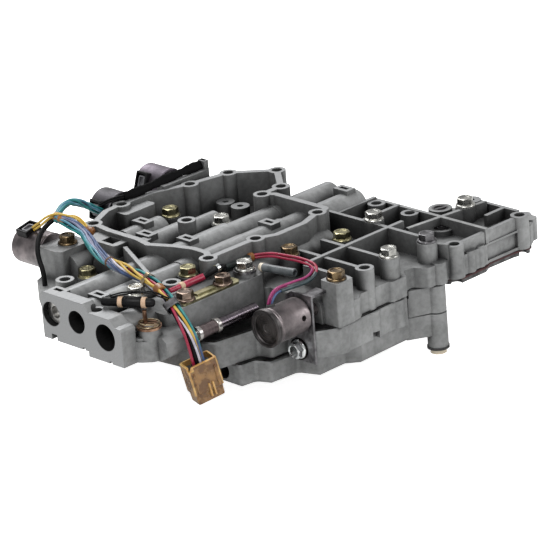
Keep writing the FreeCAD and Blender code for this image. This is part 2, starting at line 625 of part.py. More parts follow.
def lower_body():
    """The bottom casting, with its side port, oil channels and the column."""
    parts = [bevelled(bevelled(slab(LOWER_OUTLINE, 0, LOWER_HEIGHT), 0, LOWER_BEVEL), LOWER_HEIGHT, MIDDLE_BEVEL)]
    parts += [post(COLUMN_X, COLUMN_Y, COLUMN_FOOT, LOWER_HEIGHT, COLUMN_RADIUS),
              rib((200, -52), (COLUMN_X, COLUMN_Y), 0, LOWER_HEIGHT, 9.0)]
    tools = [bar_x(70, 100, -6, 8.5, 5.4),
             post(COLUMN_X, COLUMN_Y, COLUMN_FOOT - 1, COLUMN_FOOT + COLUMN_SOCKET_DEPTH + 1,
                  COLUMN_TUBE_RADIUS + RUNNING_FIT)]
    # oil channels in the face that seats on the case
    channels = [((92, 10), (142, 10)), ((142, 10), (142, 44)), ((98, 30), (134, 30)), ((100, 56), (136, 56)),
                ((166, -40), (166, 84)), ((182, -40), (182, 20)), ((182, 34), (182, 84)), ((104, -14), (146, -14)),
                ((130, -36), (150, -36)), ((122, 70), (150, 92))]
    tools += [rib(start, end, -1, 6.0, 6.0) for start, end in channels]
    return cut(fuse(parts), tools)


def separator_plates():
    """The two steel plates between the castings."""
    upper_area = fuse([sheet_from(MIDDLE_OUTLINE, Z_UPPER_PLATE, PLATE_THICKNESS, PLATE_SETBACK),
                       sheet_from(EXTENSION_OUTLINE, Z_UPPER_PLATE, PLATE_THICKNESS, PLATE_SETBACK),
                       box(200, 236, -50, 30, Z_UPPER_PLATE, Z_UPPER),
                       box(WEDGE[0] + 1, WEDGE[1] + 6, WEDGE[2] + 0.5, WEDGE[3], Z_UPPER_PLATE, Z_UPPER)])
    holes = DECK_HOLES[:2] + DECK_HOLES[3:5]
    upper = cut(upper_area, bolt_holes(Z_UPPER_PLATE, Z_UPPER) + case_holes(Z_UPPER_PLATE, Z_UPPER, holes))
    lower = sheet_from(LOWER_OUTLINE, LOWER_HEIGHT, PLATE_THICKNESS, PLATE_SETBACK)
    return upper, lower


def extension_cover():
    """The dark red gasket and the steel cover under the right extension."""
    z_gasket = Z_UPPER_PLATE - GASKET_THICKNESS
    z_cover = z_gasket - COVER_THICKNESS
    holes = case_holes(z_cover, Z_UPPER_PLATE, DECK_HOLES[:2] + DECK_HOLES[3:5])
    gasket = cut(sheet_from(EXTENSION_OUTLINE, z_gasket, GASKET_THICKNESS, GASKET_SETBACK), holes)
    cover = cut(sheet_from(EXTENSION_OUTLINE, z_cover, COVER_THICKNESS, COVER_SETBACK), holes)
    return gasket, cover


def bore_stack(bore):
    """The plug, spring and spool of one open bore, from the end face inwards."""
    radius = bore["radius"] - RUNNING_FIT
    groove = bore["radius"] - PLUG_GROOVE_DEPTH
    half_key = KEY_THICKNESS / 2 + 0.4
    plug_x = bore["key_x"] - PLUG_FRONT
    length = PLUG_FRONT + PLUG_BACK
    plug = turned_x([(0, radius - 0.8), (0.8, radius), (PLUG_FRONT - half_key, radius),
                     (PLUG_FRONT - half_key, groove), (PLUG_FRONT + half_key, groove),
                     (PLUG_FRONT + half_key, radius), (length, radius)], plug_x, bore["y"], bore["z"])
    plug = cut(plug, [bar_x(plug_x - 1, plug_x + 2.5, bore["y"], bore["z"], bore["radius"] * 0.5)])
    radius = bore["spool"] - RUNNING_FIT
    stem = radius * SPOOL_STEM_RATIO
    spool_x = bore["depth"] - SPOOL_LENGTH - SEAT_GAP
    end = SPOOL_LENGTH - SPOOL_LAND
    spool = turned_x([(0, radius), (SPOOL_LAND, radius), (SPOOL_LAND, stem), (end, stem), (end, radius),
                      (SPOOL_LENGTH, radius)], spool_x, bore["y"], bore["z"])
    spring = coil_spring(plug_x + length + 0.1, spool_x - 0.1, bore["y"], bore["z"], radius * 0.68)
    return plug, spring, spool


def manual_valve():
    """The hand-selected spool: stem in its bore, two collars for the lever pin and the rod."""
    collar = MANUAL_COLLAR_X - (MANUAL_BLOCK_X1 - MANUAL_STEM_LENGTH)
    first = collar + MANUAL_COLLAR_WIDTH
    second = first + MANUAL_GROOVE_LENGTH
    last = second + MANUAL_COLLAR_WIDTH
    land = MANUAL_STEM_LENGTH - 2
    return turned_x([
        (0, MANUAL_RADIUS), (MANUAL_LAND, MANUAL_RADIUS), (MANUAL_LAND, MANUAL_NECK_RADIUS),
        (land - MANUAL_LAND, MANUAL_NECK_RADIUS), (land - MANUAL_LAND, MANUAL_RADIUS), (land, MANUAL_RADIUS),
        (land, MANUAL_NECK_RADIUS), (collar, MANUAL_NECK_RADIUS), (collar, MANUAL_COLLAR_RADIUS),
        (first, MANUAL_COLLAR_RADIUS), (first, MANUAL_GROOVE_RADIUS), (second, MANUAL_GROOVE_RADIUS),
        (second, MANUAL_COLLAR_RADIUS), (last, MANUAL_COLLAR_RADIUS), (last, MANUAL_ROD_RADIUS),
        (last + MANUAL_ROD_LENGTH, MANUAL_ROD_RADIUS)],
        MANUAL_BLOCK_X1 - MANUAL_STEM_LENGTH, MANUAL_Y, MANUAL_Z)


def shift_solenoid(solenoid):
    """One sealed can with its nose in the casting."""
    length = solenoid["end_y"] - solenoid["seat_y"]
    profile = [(-SHIFT_NOSE_LENGTH, SHIFT_NOSE_RADIUS), (0, SHIFT_NOSE_RADIUS), (0, SHIFT_RADIUS),
               (length - SHIFT_RIM, SHIFT_RADIUS), (length, SHIFT_RADIUS - SHIFT_RIM)]
    can = turned_x(profile, 0, 0, 0)
    can.rotate(point(0, 0, 0), Z_AXIS, 90)
    can.translate(point(solenoid["x"], solenoid["seat_y"], solenoid["z"]))
    return can


def solenoid_connectors():
    """The moulded sockets on the shift solenoids, each turned about its can."""
    sockets = []
    half = SOCKET_WIDTH / 2
    for solenoid in SHIFT_SOLENOIDS:
        back = solenoid["end_y"] - SOCKET_SETBACK
        front = back - SOCKET_DEPTH
        block = box(-half, half, front, back, 6, SOCKET_HEIGHT)
        socket = cut(block, [bar_y(front - 1, back + 1, 0, 0, SHIFT_RADIUS)])
        socket.rotate(point(0, 0, 0), Y_AXIS, solenoid["socket_turn"])
        socket.translate(point(solenoid["x"], 0, solenoid["z"]))
        sockets.append(socket)
    return sockets


def pressure_solenoid():
    """The front can with its nose, its cap, and the folded bracket that holds it."""
    can = turned_x([(0, PRESSURE_RADIUS), (PRESSURE_LENGTH, PRESSURE_RADIUS), (PRESSURE_LENGTH, 7.0),
                    (PRESSURE_LENGTH + 4, 7.0), (PRESSURE_LENGTH + 4, PRESSURE_NOSE_RADIUS),
                    (PRESSURE_LENGTH + BRACKET_THICKNESS + PRESSURE_NOSE_LENGTH, PRESSURE_NOSE_RADIUS)],
                   PRESSURE_X, PRESSURE_Y, PRESSURE_Z)
    cap = turned_x([(0, PRESSURE_CAP_RADIUS - 1), (1, PRESSURE_CAP_RADIUS), (PRESSURE_CAP_WIDTH, PRESSURE_CAP_RADIUS)],
                   PRESSURE_X - PRESSURE_CAP_WIDTH, PRESSURE_Y, PRESSURE_Z)
    cap = cut(cap, [bar_x(PRESSURE_X - PRESSURE_CAP_WIDTH - 1, PRESSURE_X - PRESSURE_CAP_WIDTH + 1.2, PRESSURE_Y,
                          PRESSURE_Z, PRESSURE_CAP_RADIUS - 2.4)])
    front = PRESSURE_Y - PRESSURE_RADIUS
    plate = prism_x([
        (front, 13), (PRESSURE_Y + 8.5, 13), (PRESSURE_Y + 8.5, 36.6), (PRESSURE_Y + 12, 38), (PRESSURE_Y + 12, 56),
        (PRESSURE_Y + 6, 60), (front, 60)], PRESSURE_SEAT_X, BRACKET_BACK_X)
    arm = box(PRESSURE_SEAT_X, 126 - 0.1, front, PRESSURE_Y - 3, 60 - BRACKET_THICKNESS, 60)
    bracket = cut(fuse([plate, arm]), [
        bar_x(PRESSURE_SEAT_X - 1, BRACKET_BACK_X + 1, PRESSURE_Y, PRESSURE_Z, 7.0 + RUNNING_FIT),
        bar_x(PRESSURE_SEAT_X - 1, BRACKET_BACK_X + 1, BRACKET_BOLT_Y, BRACKET_BOLT_Z, BOLT_RADIUS + 0.3)])
    screw = bolt(point(PRESSURE_SEAT_X, BRACKET_BOLT_Y, BRACKET_BOLT_Z), BRACKET_BOLT_LENGTH, X_AXIS * -1)
    return can, cap, bracket, screw


def deck_fittings():
    """Retainer plate, bolt washer, slotted plugs and the column's seal and sleeve."""
    retainer = slab([(52, DECK_FRONT + 0.5), (101, DECK_FRONT + 0.5), (104, 0), (104, 8.2), (52, 8.2)],
                    Z_DECK, Z_RETAINER, 2.0)
    shanks = [post(x, y, Z_DECK - 1, Z_RETAINER + 1, BOLT_RADIUS + 0.3) for x, y, z in BOLTS["deck_bolts"]]
    ridge_bar = box(68, 84, 1, 5, Z_RETAINER - 0.2, Z_RETAINER + 1.2)
    retainer = cut(fuse([retainer, ridge_bar]), shanks)
    x, y, seat = BOLTS["washer_bolt"][0]
    washer = cut(post(x, y, WASHER_SEAT_Z, seat, WASHER_RADIUS), [post(x, y, Z_DECK, seat + 1, BOLT_RADIUS + 0.3)])
    plugs = []
    for x, y, rim in SLOTTED_PLUGS:
        plug = post(x, y, rim - 5, rim, SLOTTED_PLUG_RADIUS)
        recess = cut(post(x, y, rim - PLUG_RECESS, rim + 1, SLOTTED_PLUG_RADIUS - PLUG_RIM),
                     [rib((x - 7, y + 2), (x + 7, y - 2), rim - PLUG_RECESS - 1, rim + 2, PLUG_BAR)])
        plugs.append(cut(plug, [recess]))
    seal_low = COLUMN_FOOT - SEAL_THICKNESS
    seal = cut(post(COLUMN_X, COLUMN_Y, seal_low, COLUMN_FOOT, COLUMN_RADIUS + SEAL_STAND),
               [post(COLUMN_X, COLUMN_Y, seal_low - 1, COLUMN_FOOT + 1, COLUMN_TUBE_RADIUS)])
    top = COLUMN_FOOT + COLUMN_SOCKET_DEPTH
    sleeve = fuse([post(COLUMN_X, COLUMN_Y, COLUMN_TIP, top, COLUMN_TIP_RADIUS),
                   post(COLUMN_X, COLUMN_Y, seal_low, top, COLUMN_TUBE_RADIUS)])
    sleeve = cut(sleeve, [post(COLUMN_X, COLUMN_Y, COLUMN_TIP - 1, top + 1, COLUMN_TIP_RADIUS - COLUMN_TUBE_WALL)])
    return retainer, washer, plugs, seal, sleeve


# Temperature sensor over the front column
SENSOR_START = (12.6, 30.5, 70.4)
SENSOR_END = (30.1, 0.0, 70.4)
SENSOR_RADIUS = 2.9
SENSOR_BODY_RADIUS = 3.8
SENSOR_BODY = (0.42, 0.76)
SENSOR_BANDS = (0.32, 0.765)
SENSOR_RING_RADIUS = 8.2
SENSOR_RING_HOLE = 3.9
SENSOR_RING_THICKNESS = 1.6
SENSOR_RING_FLAT = 6.6
SENSOR_COLUMN = (22.0, -2.0, 57.0)
SENSOR_COLUMN_RADIUS = 7.4


def sensor():
    """The sensor barrel, its two bands and the ring bracket on the column."""
    start, end = point(*SENSOR_START), point(*SENSOR_END)
    along = end - start
    sleeve_start, sleeve_length = start + along * SENSOR_BODY[0], along.Length * (SENSOR_BODY[1] - SENSOR_BODY[0])
    barrel = fuse([Part.makeCylinder(SENSOR_RADIUS, along.Length, start, along),
                   Part.makeCylinder(SENSOR_BODY_RADIUS, sleeve_length, sleeve_start, along)])
    bands = []
    for share in SENSOR_BANDS:
        place = start + along * share
        band = Part.makeCylinder(SENSOR_RADIUS + 0.6, 3.0, place, along)
        bands.append(cut(band, [Part.makeCylinder(SENSOR_RADIUS, 5.0, place - along.normalize(), along)]))
    x, y, z = SENSOR_COLUMN
    top = z + SENSOR_RING_THICKNESS
    ring = cut(post(x, y, z, top, SENSOR_RING_RADIUS), [post(x, y, z - 1, top + 1, SENSOR_RING_HOLE)])
    low = SENSOR_START[2] - SENSOR_BODY_RADIUS
    stem = post(x + 2.4, y + 6.0, z + 0.5, low - SEAT_GAP, 1.4)
    wall = box(x - 20, x + 20, y + SENSOR_RING_FLAT, y + 20, z - 1, top + 1)
    ring = cut(fuse([ring, stem]), [wall])
    return barrel, bands, ring


# Harness routes. The loom and the leads of two solenoids meet at the junction.
JUNCTION = (71.5, 138.0, 86.0)
LOOM_ROUTE = [JUNCTION, (73.5, 126.0, 83.5), (74.0, 114.0, 79.5), (67.0, 100.0, 77.0), (58.0, 82.0, 75.8),
              (51.5, 60.0, 75.2), (50.2, 39.0, 75.2), (46.5, 17.0, 74.2), (39.5, -3.5, 69.5), (37.0, -17.5, 58.7),
              (38.0, -23.6, 46.5), CONNECTOR_TOP]
YELLOW_ROUTE = [(63.4, 153.4, 77.0), (62.8, 146.0, 81.5), (66.0, 139.5, 88.0), (75.0, 131.0, 88.5),
                (79.5, 121.0, 84.5), (76.0, 112.0, 80.0)]
TEAL_ROUTE = [(125.2, 154.9, 69.4), (114.0, 150.0, 75.5), (104.0, 147.5, 83.5), (92.0, 146.0, 89.0),
              (80.0, 142.5, 89.5), JUNCTION]
BLACK_ROUTE = [JUNCTION, (65.0, 142.0, 81.0), (57.0, 140.0, 77.0), (50.5, 135.5, 72.5), (45.5, 129.5, 67.0),
               (43.0, 122.5, 59.5), (43.0, 122.5, Z_FLOOR)]
STRAP_RADIUS = 1.9
STRAP_ROUTE = [(124.2, 154.9, 74.0), (128.2, 149.9, 79.1), (137.4, 145.6, 81.6), (148.5, 144.8, 81.0),
               (162.0, 144.4, 80.2), (177.0, 143.6, 80.0), (193.0, 143.3, 80.0), (209.0, 143.3, 80.0)]
RED_SLEEVE = ((57.0, 15.4, 65.8), (88.0, 15.4, 65.8))
BLACK_SLEEVE = ((104.0, 14.4, 65.8), (130.0, 14.4, 65.8))
RED_ROUTE = [(130.0, 14.4, 65.8), (136.5, 6.5, 67.2), (136.0, -7.0, 68.0), (137.0, -21.0, 68.0),
             (135.5, -34.0, 67.0), (124.5, -41.0, 64.2), (110.5, -38.5, 63.2), (98.5, -39.0, 62.4),
             (91.6, -40.5, 57.6)]
SENSOR_LEADS_RADIUS = 1.0
SENSOR_LEADS_ROUTE = [(15.6, 25.2, 73.7), (19.5, 19.5, 75.8), (24.5, 12.5, 76.8), (29.5, 6.0, 76.8),
                      (33.5, -0.5, 75.0), (37.8, -5.0, 71.2)]
GREY_SLEEVE = ((125.0, 1.0, 63.4), (129.0, -24.0, 63.8))


def connector():
    """The ribbed harness plug, hanging in front of the castings."""
    width, depth, height = CONNECTOR_SIZE
    body = box(-width / 2, width / 2, -depth / 2, depth / 2, -height, 0)
    ribs = [box(x - 1, x + 1, -depth / 2 - 1.2, -depth / 2, -height + 2, -4) for x in (-7.5, 0, 7.5)]
    mouth = [box(-width / 2 + 2, -1, -depth / 2 + 2, depth / 2 - 2, -height - 1, -height + 9),
             box(1, width / 2 - 2, -depth / 2 + 2, depth / 2 - 2, -height - 1, -height + 9)]
    solid = cut(fuse([body] + ribs), mouth)
    solid.rotate(point(0, 0, 0), Y_AXIS, -CONNECTOR_LEAN)
    solid.rotate(point(0, 0, 0), Z_AXIS, CONNECTOR_TURN)
    solid.translate(point(*CONNECTOR_TOP))
    return solid


def straight_sleeve(ends):
    """A short sleeve of one straight run."""
    start, end = point(*ends[0]), point(*ends[1])
    return Part.makeCylinder(SLEEVE_RADIUS, (end - start).Length, start, end - start)


def main():
    os.makedirs("parts", exist_ok=True)
    export("upper_body", [upper_body()])
    export("middle_body", [middle_body()])
    export("lower_body", [lower_body()])
    upper_plate, lower_plate = separator_plates()
    export("upper_separator_plate", [upper_plate])
    export("lower_separator_plate", [lower_plate])
    gasket, cover = extension_cover()
    export("extension_gasket", [gasket])
    export("extension_cover", [cover])
    for node, seats in BOLTS.items():
        export(node, [bolt(point(*seat), BOLT_LENGTHS[node]) for seat in seats])
    for name, bore in BORES.items():
        plug, spring, spool = bore_stack(bore)
        export("bore_plug_" + name, [plug])
        export("spool_spring_" + name, [spring])
        export("spool_valve_" + name, [spool])
    export("retainer_keys", [key_block(pocket, 0, -KEY_RECESS) for pocket in key_pockets()])
    export("manual_valve", [manual_valve()])
    for number, solenoid in enumerate(SHIFT_SOLENOIDS, 1):
        export("shift_solenoid_%d" % number, [shift_solenoid(solenoid)])
    export("solenoid_sockets", solenoid_connectors())
    can, cap, bracket, screw = pressure_solenoid()
    export("pressure_solenoid", [can])
    export("pressure_solenoid_cap", [cap])
    export("pressure_bracket", [bracket])
    export("bracket_bolt", [screw])
    retainer, washer, plugs, seal, sleeve = deck_fittings()
    export("retainer_plate", [retainer])
    export("bolt_washer", [washer])
    export("slotted_plugs", plugs)
    export("column_seal", [seal])
    export("column_sleeve", [sleeve])
    barrel, bands, ring = sensor()
    export("temperature_sensor", [barrel])
    export("sensor_bands", bands)
    export("sensor_bracket", [ring])
    export("harness_connector", [connector()])
    export("main_loom", [tube(LOOM_ROUTE, LOOM_RADIUS)])
    export("yellow_lead", [tube(YELLOW_ROUTE, LEAD_RADIUS)])
    export("teal_leads", [tube(TEAL_ROUTE, LEAD_RADIUS)])
    export("black_lead", [tube(BLACK_ROUTE, LEAD_RADIUS)])
    export("red_leads", [tube(RED_ROUTE, LEAD_RADIUS)])
    export("taped_branch", [tube(STRAP_ROUTE, STRAP_RADIUS)])
    export("sensor_leads", [tube(SENSOR_LEADS_ROUTE, SENSOR_LEADS_RADIUS)])
    export("red_sleeve", [straight_sleeve(RED_SLEEVE)])
    export("black_sleeve", [straight_sleeve(BLACK_SLEEVE)])
    export("grey_sleeve", [straight_sleeve(GREY_SLEEVE)])


main()
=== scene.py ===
import logging
import math
from dataclasses import dataclass, field
from enum import Enum

import bmesh
import bpy
import numpy as np
from mathutils import Matrix


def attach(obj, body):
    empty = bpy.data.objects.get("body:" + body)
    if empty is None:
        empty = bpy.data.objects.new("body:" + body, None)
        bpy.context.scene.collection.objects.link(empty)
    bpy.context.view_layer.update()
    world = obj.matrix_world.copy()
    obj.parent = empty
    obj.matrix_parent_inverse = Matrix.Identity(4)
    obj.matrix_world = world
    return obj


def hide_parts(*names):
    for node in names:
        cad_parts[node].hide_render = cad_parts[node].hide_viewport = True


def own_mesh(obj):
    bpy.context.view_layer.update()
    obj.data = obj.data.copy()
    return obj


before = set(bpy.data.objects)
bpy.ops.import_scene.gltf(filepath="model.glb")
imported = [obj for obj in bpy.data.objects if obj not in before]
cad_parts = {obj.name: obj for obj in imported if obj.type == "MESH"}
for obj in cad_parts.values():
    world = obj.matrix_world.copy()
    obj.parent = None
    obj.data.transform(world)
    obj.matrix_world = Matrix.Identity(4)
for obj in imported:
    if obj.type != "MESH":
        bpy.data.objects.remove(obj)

logging.basicConfig(level=logging.INFO, format="%(message)s")
LOG = logging.getLogger("valve_body")
MM = 0.001
HOUSING = "housing"
DATUM = np.array([150.0, 20.0, 0.0])
SHARP_ANGLE = math.radians(35)
RIGHT = (1.0, 0.0, 0.0)
LEFT = (-1.0, 0.0, 0.0)
UP = (0.0, 0.0, 1.0)

Triple = tuple[float, float, float]
Piece = bpy.types.Object
Socket = bpy.types.NodeSocket
Tree = bpy.types.NodeTree
Stops = list[tuple[float, str]]
Profile = list[tuple[float, float]] | tuple[tuple[float, float], ...]
Inputs = dict[str | int, bpy.types.Node | Socket | float | tuple]


def layout(points: list | tuple | np.ndarray) -> np.ndarray:
    """Points given in the drawing's layout, in millimetres, as metres in the row frame."""
    return (np.asarray(points, dtype=float) - DATUM) * MM


# Colour and nodes


class Kind(Enum):
    """The kinds of node that the finishes are made of."""

    SHADER = "ShaderNodeBsdfPrincipled"
    OUTPUT = "ShaderNodeOutputMaterial"
    COORDINATES = "ShaderNodeTexCoord"
    AXES = "ShaderNodeSeparateXYZ"
    STRETCH = "ShaderNodeMapping"
    NOISE = "ShaderNodeTexNoise"
    RAMP = "ShaderNodeValToRGB"
    RANGE = "ShaderNodeMapRange"
    MATH = "ShaderNodeMath"
    MIX = "ShaderNodeMix"
    CORNERS = "ShaderNodeAmbientOcclusion"
    ROUNDING = "ShaderNodeBevel"
    RELIEF = "ShaderNodeBump"
    LIGHT_PATH = "ShaderNodeLightPath"


# Numbers of the sockets that a mix of two colours uses
MIX_SHARE, MIX_FIRST, MIX_SECOND = 0, 6, 7
MIX_RESULT = 2


def linear(hex_colour: str) -> tuple[float, float, float, float]:
    """Turns an sRGB hex colour into the linear colour that shaders use, by the standard sRGB curve.

    Args:
        hex_colour: six hex digits, such as "8c8c8a".

    Returns:
        Linear red, green, blue and an alpha of one.
    """
    raw = np.array([int(hex_colour[i:i + 2], 16) / 255.0 for i in (0, 2, 4)])
    value = np.where(raw <= 0.04045, raw / 12.92, ((raw + 0.055) / 1.055) ** 2.4)
    return (*[float(v) for v in value], 1.0)


def add_node(tree: Tree, kind: Kind, inputs: Inputs | None = None, stops: Stops | None = None,
             **settings: str | int | bool) -> bpy.types.Node:
    """Adds one node, sets its properties, links or fills its inputs and sets a ramp's colours.

    Args:
        tree: the material's node tree.
        kind: the kind of node.
        inputs: input name or number to a plain value, or to the socket or node that it is linked to. A node
            stands for its first output, and a mix for its colour.
        stops: places and hex colours of a colour ramp.
        settings: properties of the node itself.

    Returns:
        The new node.
    """
    node = tree.nodes.new(kind.value)
    for name, value in settings.items():
        setattr(node, name, value)
    for name, value in (inputs or {}).items():
        if isinstance(value, bpy.types.Node):
            value = value.outputs[MIX_RESULT if value.bl_idname == Kind.MIX.value else 0]
        if isinstance(value, Socket):
            tree.links.new(value, node.inputs[name])
        else:
            node.inputs[name].default_value = value
    if stops:
        elements = node.color_ramp.elements
        while len(elements) < len(stops):
            elements.new(0.5)
        for element, (place, colour) in zip(elements, stops):
            element.position = place
            element.color = linear(colour)
    return node


def per_metre(size_mm: float) -> float:
    """The texture scale that gives features of about this size, for coordinates in metres."""
    return 1000.0 / size_mm


class Finish:
    """A real material with the way its surface was made."""

    name: str

    def material(self) -> bpy.types.Material:
        """Builds the material at its first use.

        Returns:
            The material, the same one for every piece of this finish.
        """
        found = bpy.data.materials.get(self.name)
        if found is not None:
            return found
        made = bpy.data.materials.new(self.name)
        made.use_nodes = True
        tree = made.node_tree
        tree.nodes.clear()
        coordinates = add_node(tree, Kind.COORDINATES).outputs["Object"]
        shader = add_node(tree, Kind.SHADER, self.paint(tree, coordinates))
        add_node(tree, Kind.OUTPUT, {"Surface": shader})
        return made

    def paint(self, tree: Tree, coordinates: Socket) -> Inputs:
        """Adds the nodes of the finish. Each finish has its own.

        Args:
            tree: the material's node tree.
            coordinates: the place on the piece, in metres.

        Returns:
            What goes into the shader's inputs.
        """
        raise NotImplementedError

    @staticmethod
    def coat(tree: Tree, tint: bpy.types.Node, stops: Stops, wear: bpy.types.Node, smooth: float,
             rough: float) -> Inputs:
        """Colour from one field, and roughness that follows the middle part of another.

        Args:
            tree: the material's node tree.
            tint: the field that the colour follows.
            stops: places and hex colours along it.
            wear: the field that the roughness follows.
            smooth: roughness where the wear is least.
            rough: roughness where it is most.

        Returns:
            The shader's colour and roughness.
        """
        roughness = add_node(tree, Kind.RANGE, {"Value": wear, "From Min": 0.3, "From Max": 0.7,
                                                "To Min": smooth, "To Max": rough}, clamp=True)
        return {"Base Color": add_node(tree, Kind.RAMP, {"Fac": tint}, stops), "Roughness": roughness}

    @staticmethod
    def relief(tree: Tree, height: bpy.types.Node, depth_mm: float, strength: float,
               rounding_mm: float) -> bpy.types.Node:
        """A fine relief over edges that are rounded for the light.

        Args:
            tree: the material's node tree.
            height: the height field, from 0 to 1.
            depth_mm: how deep the field's full range is.
            strength: share of the relief that shows.
            rounding_mm: radius of the rounded edges.

        Returns:
            The surface normal.
        """
        edges = add_node(tree, Kind.ROUNDING, {"Radius": rounding_mm * MM}, samples=4)
        return add_node(tree, Kind.RELIEF, {"Height": height, "Distance": depth_mm * MM, "Strength": strength,
                                            "Normal": edges})


# Finishes


@dataclass(frozen=True)
class CastAluminium(Finish):
    """Die-cast aluminium silicon alloy: a dull, slightly mottled skin, with faces milled bright and flat.

    The milled faces are found by their height and direction. Corners and hollows get painted shade, near black
    deep in them, and the open bores get near black painted shade inside. The open bores are given by axis y and
    z, radius and the x of their bottom.
    """

    name: str = "die_cast_aluminium"
    dark: str = "757676"
    light: str = "9b9c9c"
    stained: str = "626363"
    milled: str = "929394"
    milled_low: str = "818283"
    # Near black painted shade for the walls inside the open bores
    bore_shade: tuple[str, str] = ("161616", "232323")
    metallic: float = 0.7
    skin_roughness: float = 0.64
    milled_roughness: float = 0.46
    mottle_mm: float = 26.0
    speck_mm: float = 3.4
    speck_share: float = 0.24
    grain_mm: float = 1.1
    streak_mm: float = 0.6
    corner_reach_mm: float = 34.0
    flat: float = 0.985
    milled_above_mm: float = 57.5
    deck_mm: float = 60.5
    end_face_mm: float = -149.7
    bores_mm: tuple[tuple[float, float, float, float], ...] = (
        (46.4, 57.4, 8.3, -80.0), (22.2, 57.4, 7.7, -70.0), (-4.4, 53.1, 9.0, -54.0))
    bore_mouth_mm: float = -149.6
    wall_reach_mm: float = 0.25

    def inside_bores(self, tree: Tree, place: bpy.types.Node) -> bpy.types.Node:
        """Finds the walls of the open bores, which get near black painted shade: near a bore's axis, between its
        mouth and its bottom.

        Args:
            tree: the material's node tree.
            place: the place on the piece, split into its axes.

        Returns:
            A field that is one there and zero elsewhere.
        """
        in_bore: bpy.types.Node | float = 0.0
        for y, z, radius, bottom in self.bores_mm:
            squares = []
            for axis, middle in (("Y", y), ("Z", z)):
                off = add_node(tree, Kind.MATH, {0: place.outputs[axis], 1: middle * MM},
                               operation="SUBTRACT")
                squares.append(add_node(tree, Kind.MATH, {0: off, 1: off}, operation="MULTIPLY"))
            squared = add_node(tree, Kind.MATH, {0: squares[0], 1: squares[1]}, operation="ADD")
            reach = ((radius + self.wall_reach_mm) * MM) ** 2
            near = add_node(tree, Kind.MATH, {0: squared, 1: reach}, operation="LESS_THAN")
            above = add_node(tree, Kind.MATH, {0: place.outputs["X"], 1: bottom * MM}, operation="LESS_THAN")
            inside = add_node(tree, Kind.MATH, {0: near, 1: above}, operation="MULTIPLY")
            in_bore = add_node(tree, Kind.MATH, {0: inside, 1: in_bore}, operation="MAXIMUM")
        past_mouth = add_node(tree, Kind.MATH, {0: place.outputs["X"], 1: self.bore_mouth_mm * MM},
                              operation="GREATER_THAN")
        return add_node(tree, Kind.MATH, {0: in_bore, 1: past_mouth}, operation="MULTIPLY")

    def milled_faces(self, tree: Tree, place: bpy.types.Node) -> bpy.types.Node:
        """Finds the milled faces: those that face up above a height, but for the deck, and the left end face.

        Args:
            tree: the material's node tree.
            place: the place on the piece, split into its axes.

        Returns:
            A field that is one there and zero elsewhere.
        """
        facing = add_node(tree, Kind.AXES, {"Vector": add_node(tree, Kind.COORDINATES).outputs["Normal"]})
        flat_up = add_node(tree, Kind.MATH, {0: facing.outputs["Z"], 1: self.flat}, operation="GREATER_THAN")
        high = add_node(tree, Kind.MATH, {0: place.outputs["Z"], 1: self.milled_above_mm * MM},
                        operation="GREATER_THAN")
        deck = add_node(tree, Kind.MATH, {0: place.outputs["Z"], 1: self.deck_mm * MM, 2: 0.2 * MM},
                        operation="COMPARE")
        top = add_node(tree, Kind.MATH, {0: flat_up, 1: high}, operation="MULTIPLY")
        top = add_node(tree, Kind.MATH, {0: top, 1: deck}, operation="SUBTRACT")
        top = add_node(tree, Kind.MATH, {0: top, 1: 0.0}, operation="MAXIMUM")
        flat_left = add_node(tree, Kind.MATH, {0: facing.outputs["X"], 1: -self.flat}, operation="LESS_THAN")
        at_end = add_node(tree, Kind.MATH, {0: place.outputs["X"], 1: self.end_face_mm * MM},
                          operation="LESS_THAN")
        end = add_node(tree, Kind.MATH, {0: flat_left, 1: at_end}, operation="MULTIPLY")
        return add_node(tree, Kind.MATH, {0: top, 1: end}, operation="MAXIMUM")

    def paint(self, tree: Tree, coordinates: Socket) -> Inputs:
        """Adds the mottled skin, the milled faces, painted shade in the corners and bores, and the fine grain.

        Args:
            tree: the material's node tree.
            coordinates: the place on the piece, in metres.

        Returns:
            What goes into the shader's inputs.
        """
        mottle = add_node(tree, Kind.NOISE, {"Vector": coordinates, "Scale": per_metre(self.mottle_mm),
                                             "Detail": 5.0, "Roughness": 0.55})
        skin = add_node(tree, Kind.RAMP, {"Fac": mottle}, [(0.34, self.dark), (0.66, self.light)])
        speck = add_node(tree, Kind.NOISE, {"Vector": coordinates, "Scale": per_metre(self.speck_mm),
                                            "Detail": 4.0, "Roughness": 0.55})
        stains = add_node(tree, Kind.RAMP, {"Fac": speck}, [(0.34, self.stained), (0.6, self.light)])
        skin = add_node(tree, Kind.MIX, {MIX_SHARE: self.speck_share, MIX_FIRST: skin, MIX_SECOND: stains},
                        data_type="RGBA")
        place = add_node(tree, Kind.AXES, {"Vector": coordinates})
        machined = self.milled_faces(tree, place)
        # The cutter leaves fine streaks along X, drawn coarser than the real ones so that they show
        stretch = add_node(tree, Kind.STRETCH, {"Vector": coordinates, "Scale": (0.08, 1.0, 1.0)})
        streaks = add_node(tree, Kind.NOISE, {"Vector": stretch, "Scale": per_metre(self.streak_mm),
                                              "Detail": 2.0, "Roughness": 0.55})
        bright = add_node(tree, Kind.RAMP, {"Fac": streaks}, [(0.3, self.milled_low), (0.7, self.milled)])
        colour = add_node(tree, Kind.MIX, {MIX_SHARE: machined, MIX_FIRST: skin, MIX_SECOND: bright},
                          data_type="RGBA")
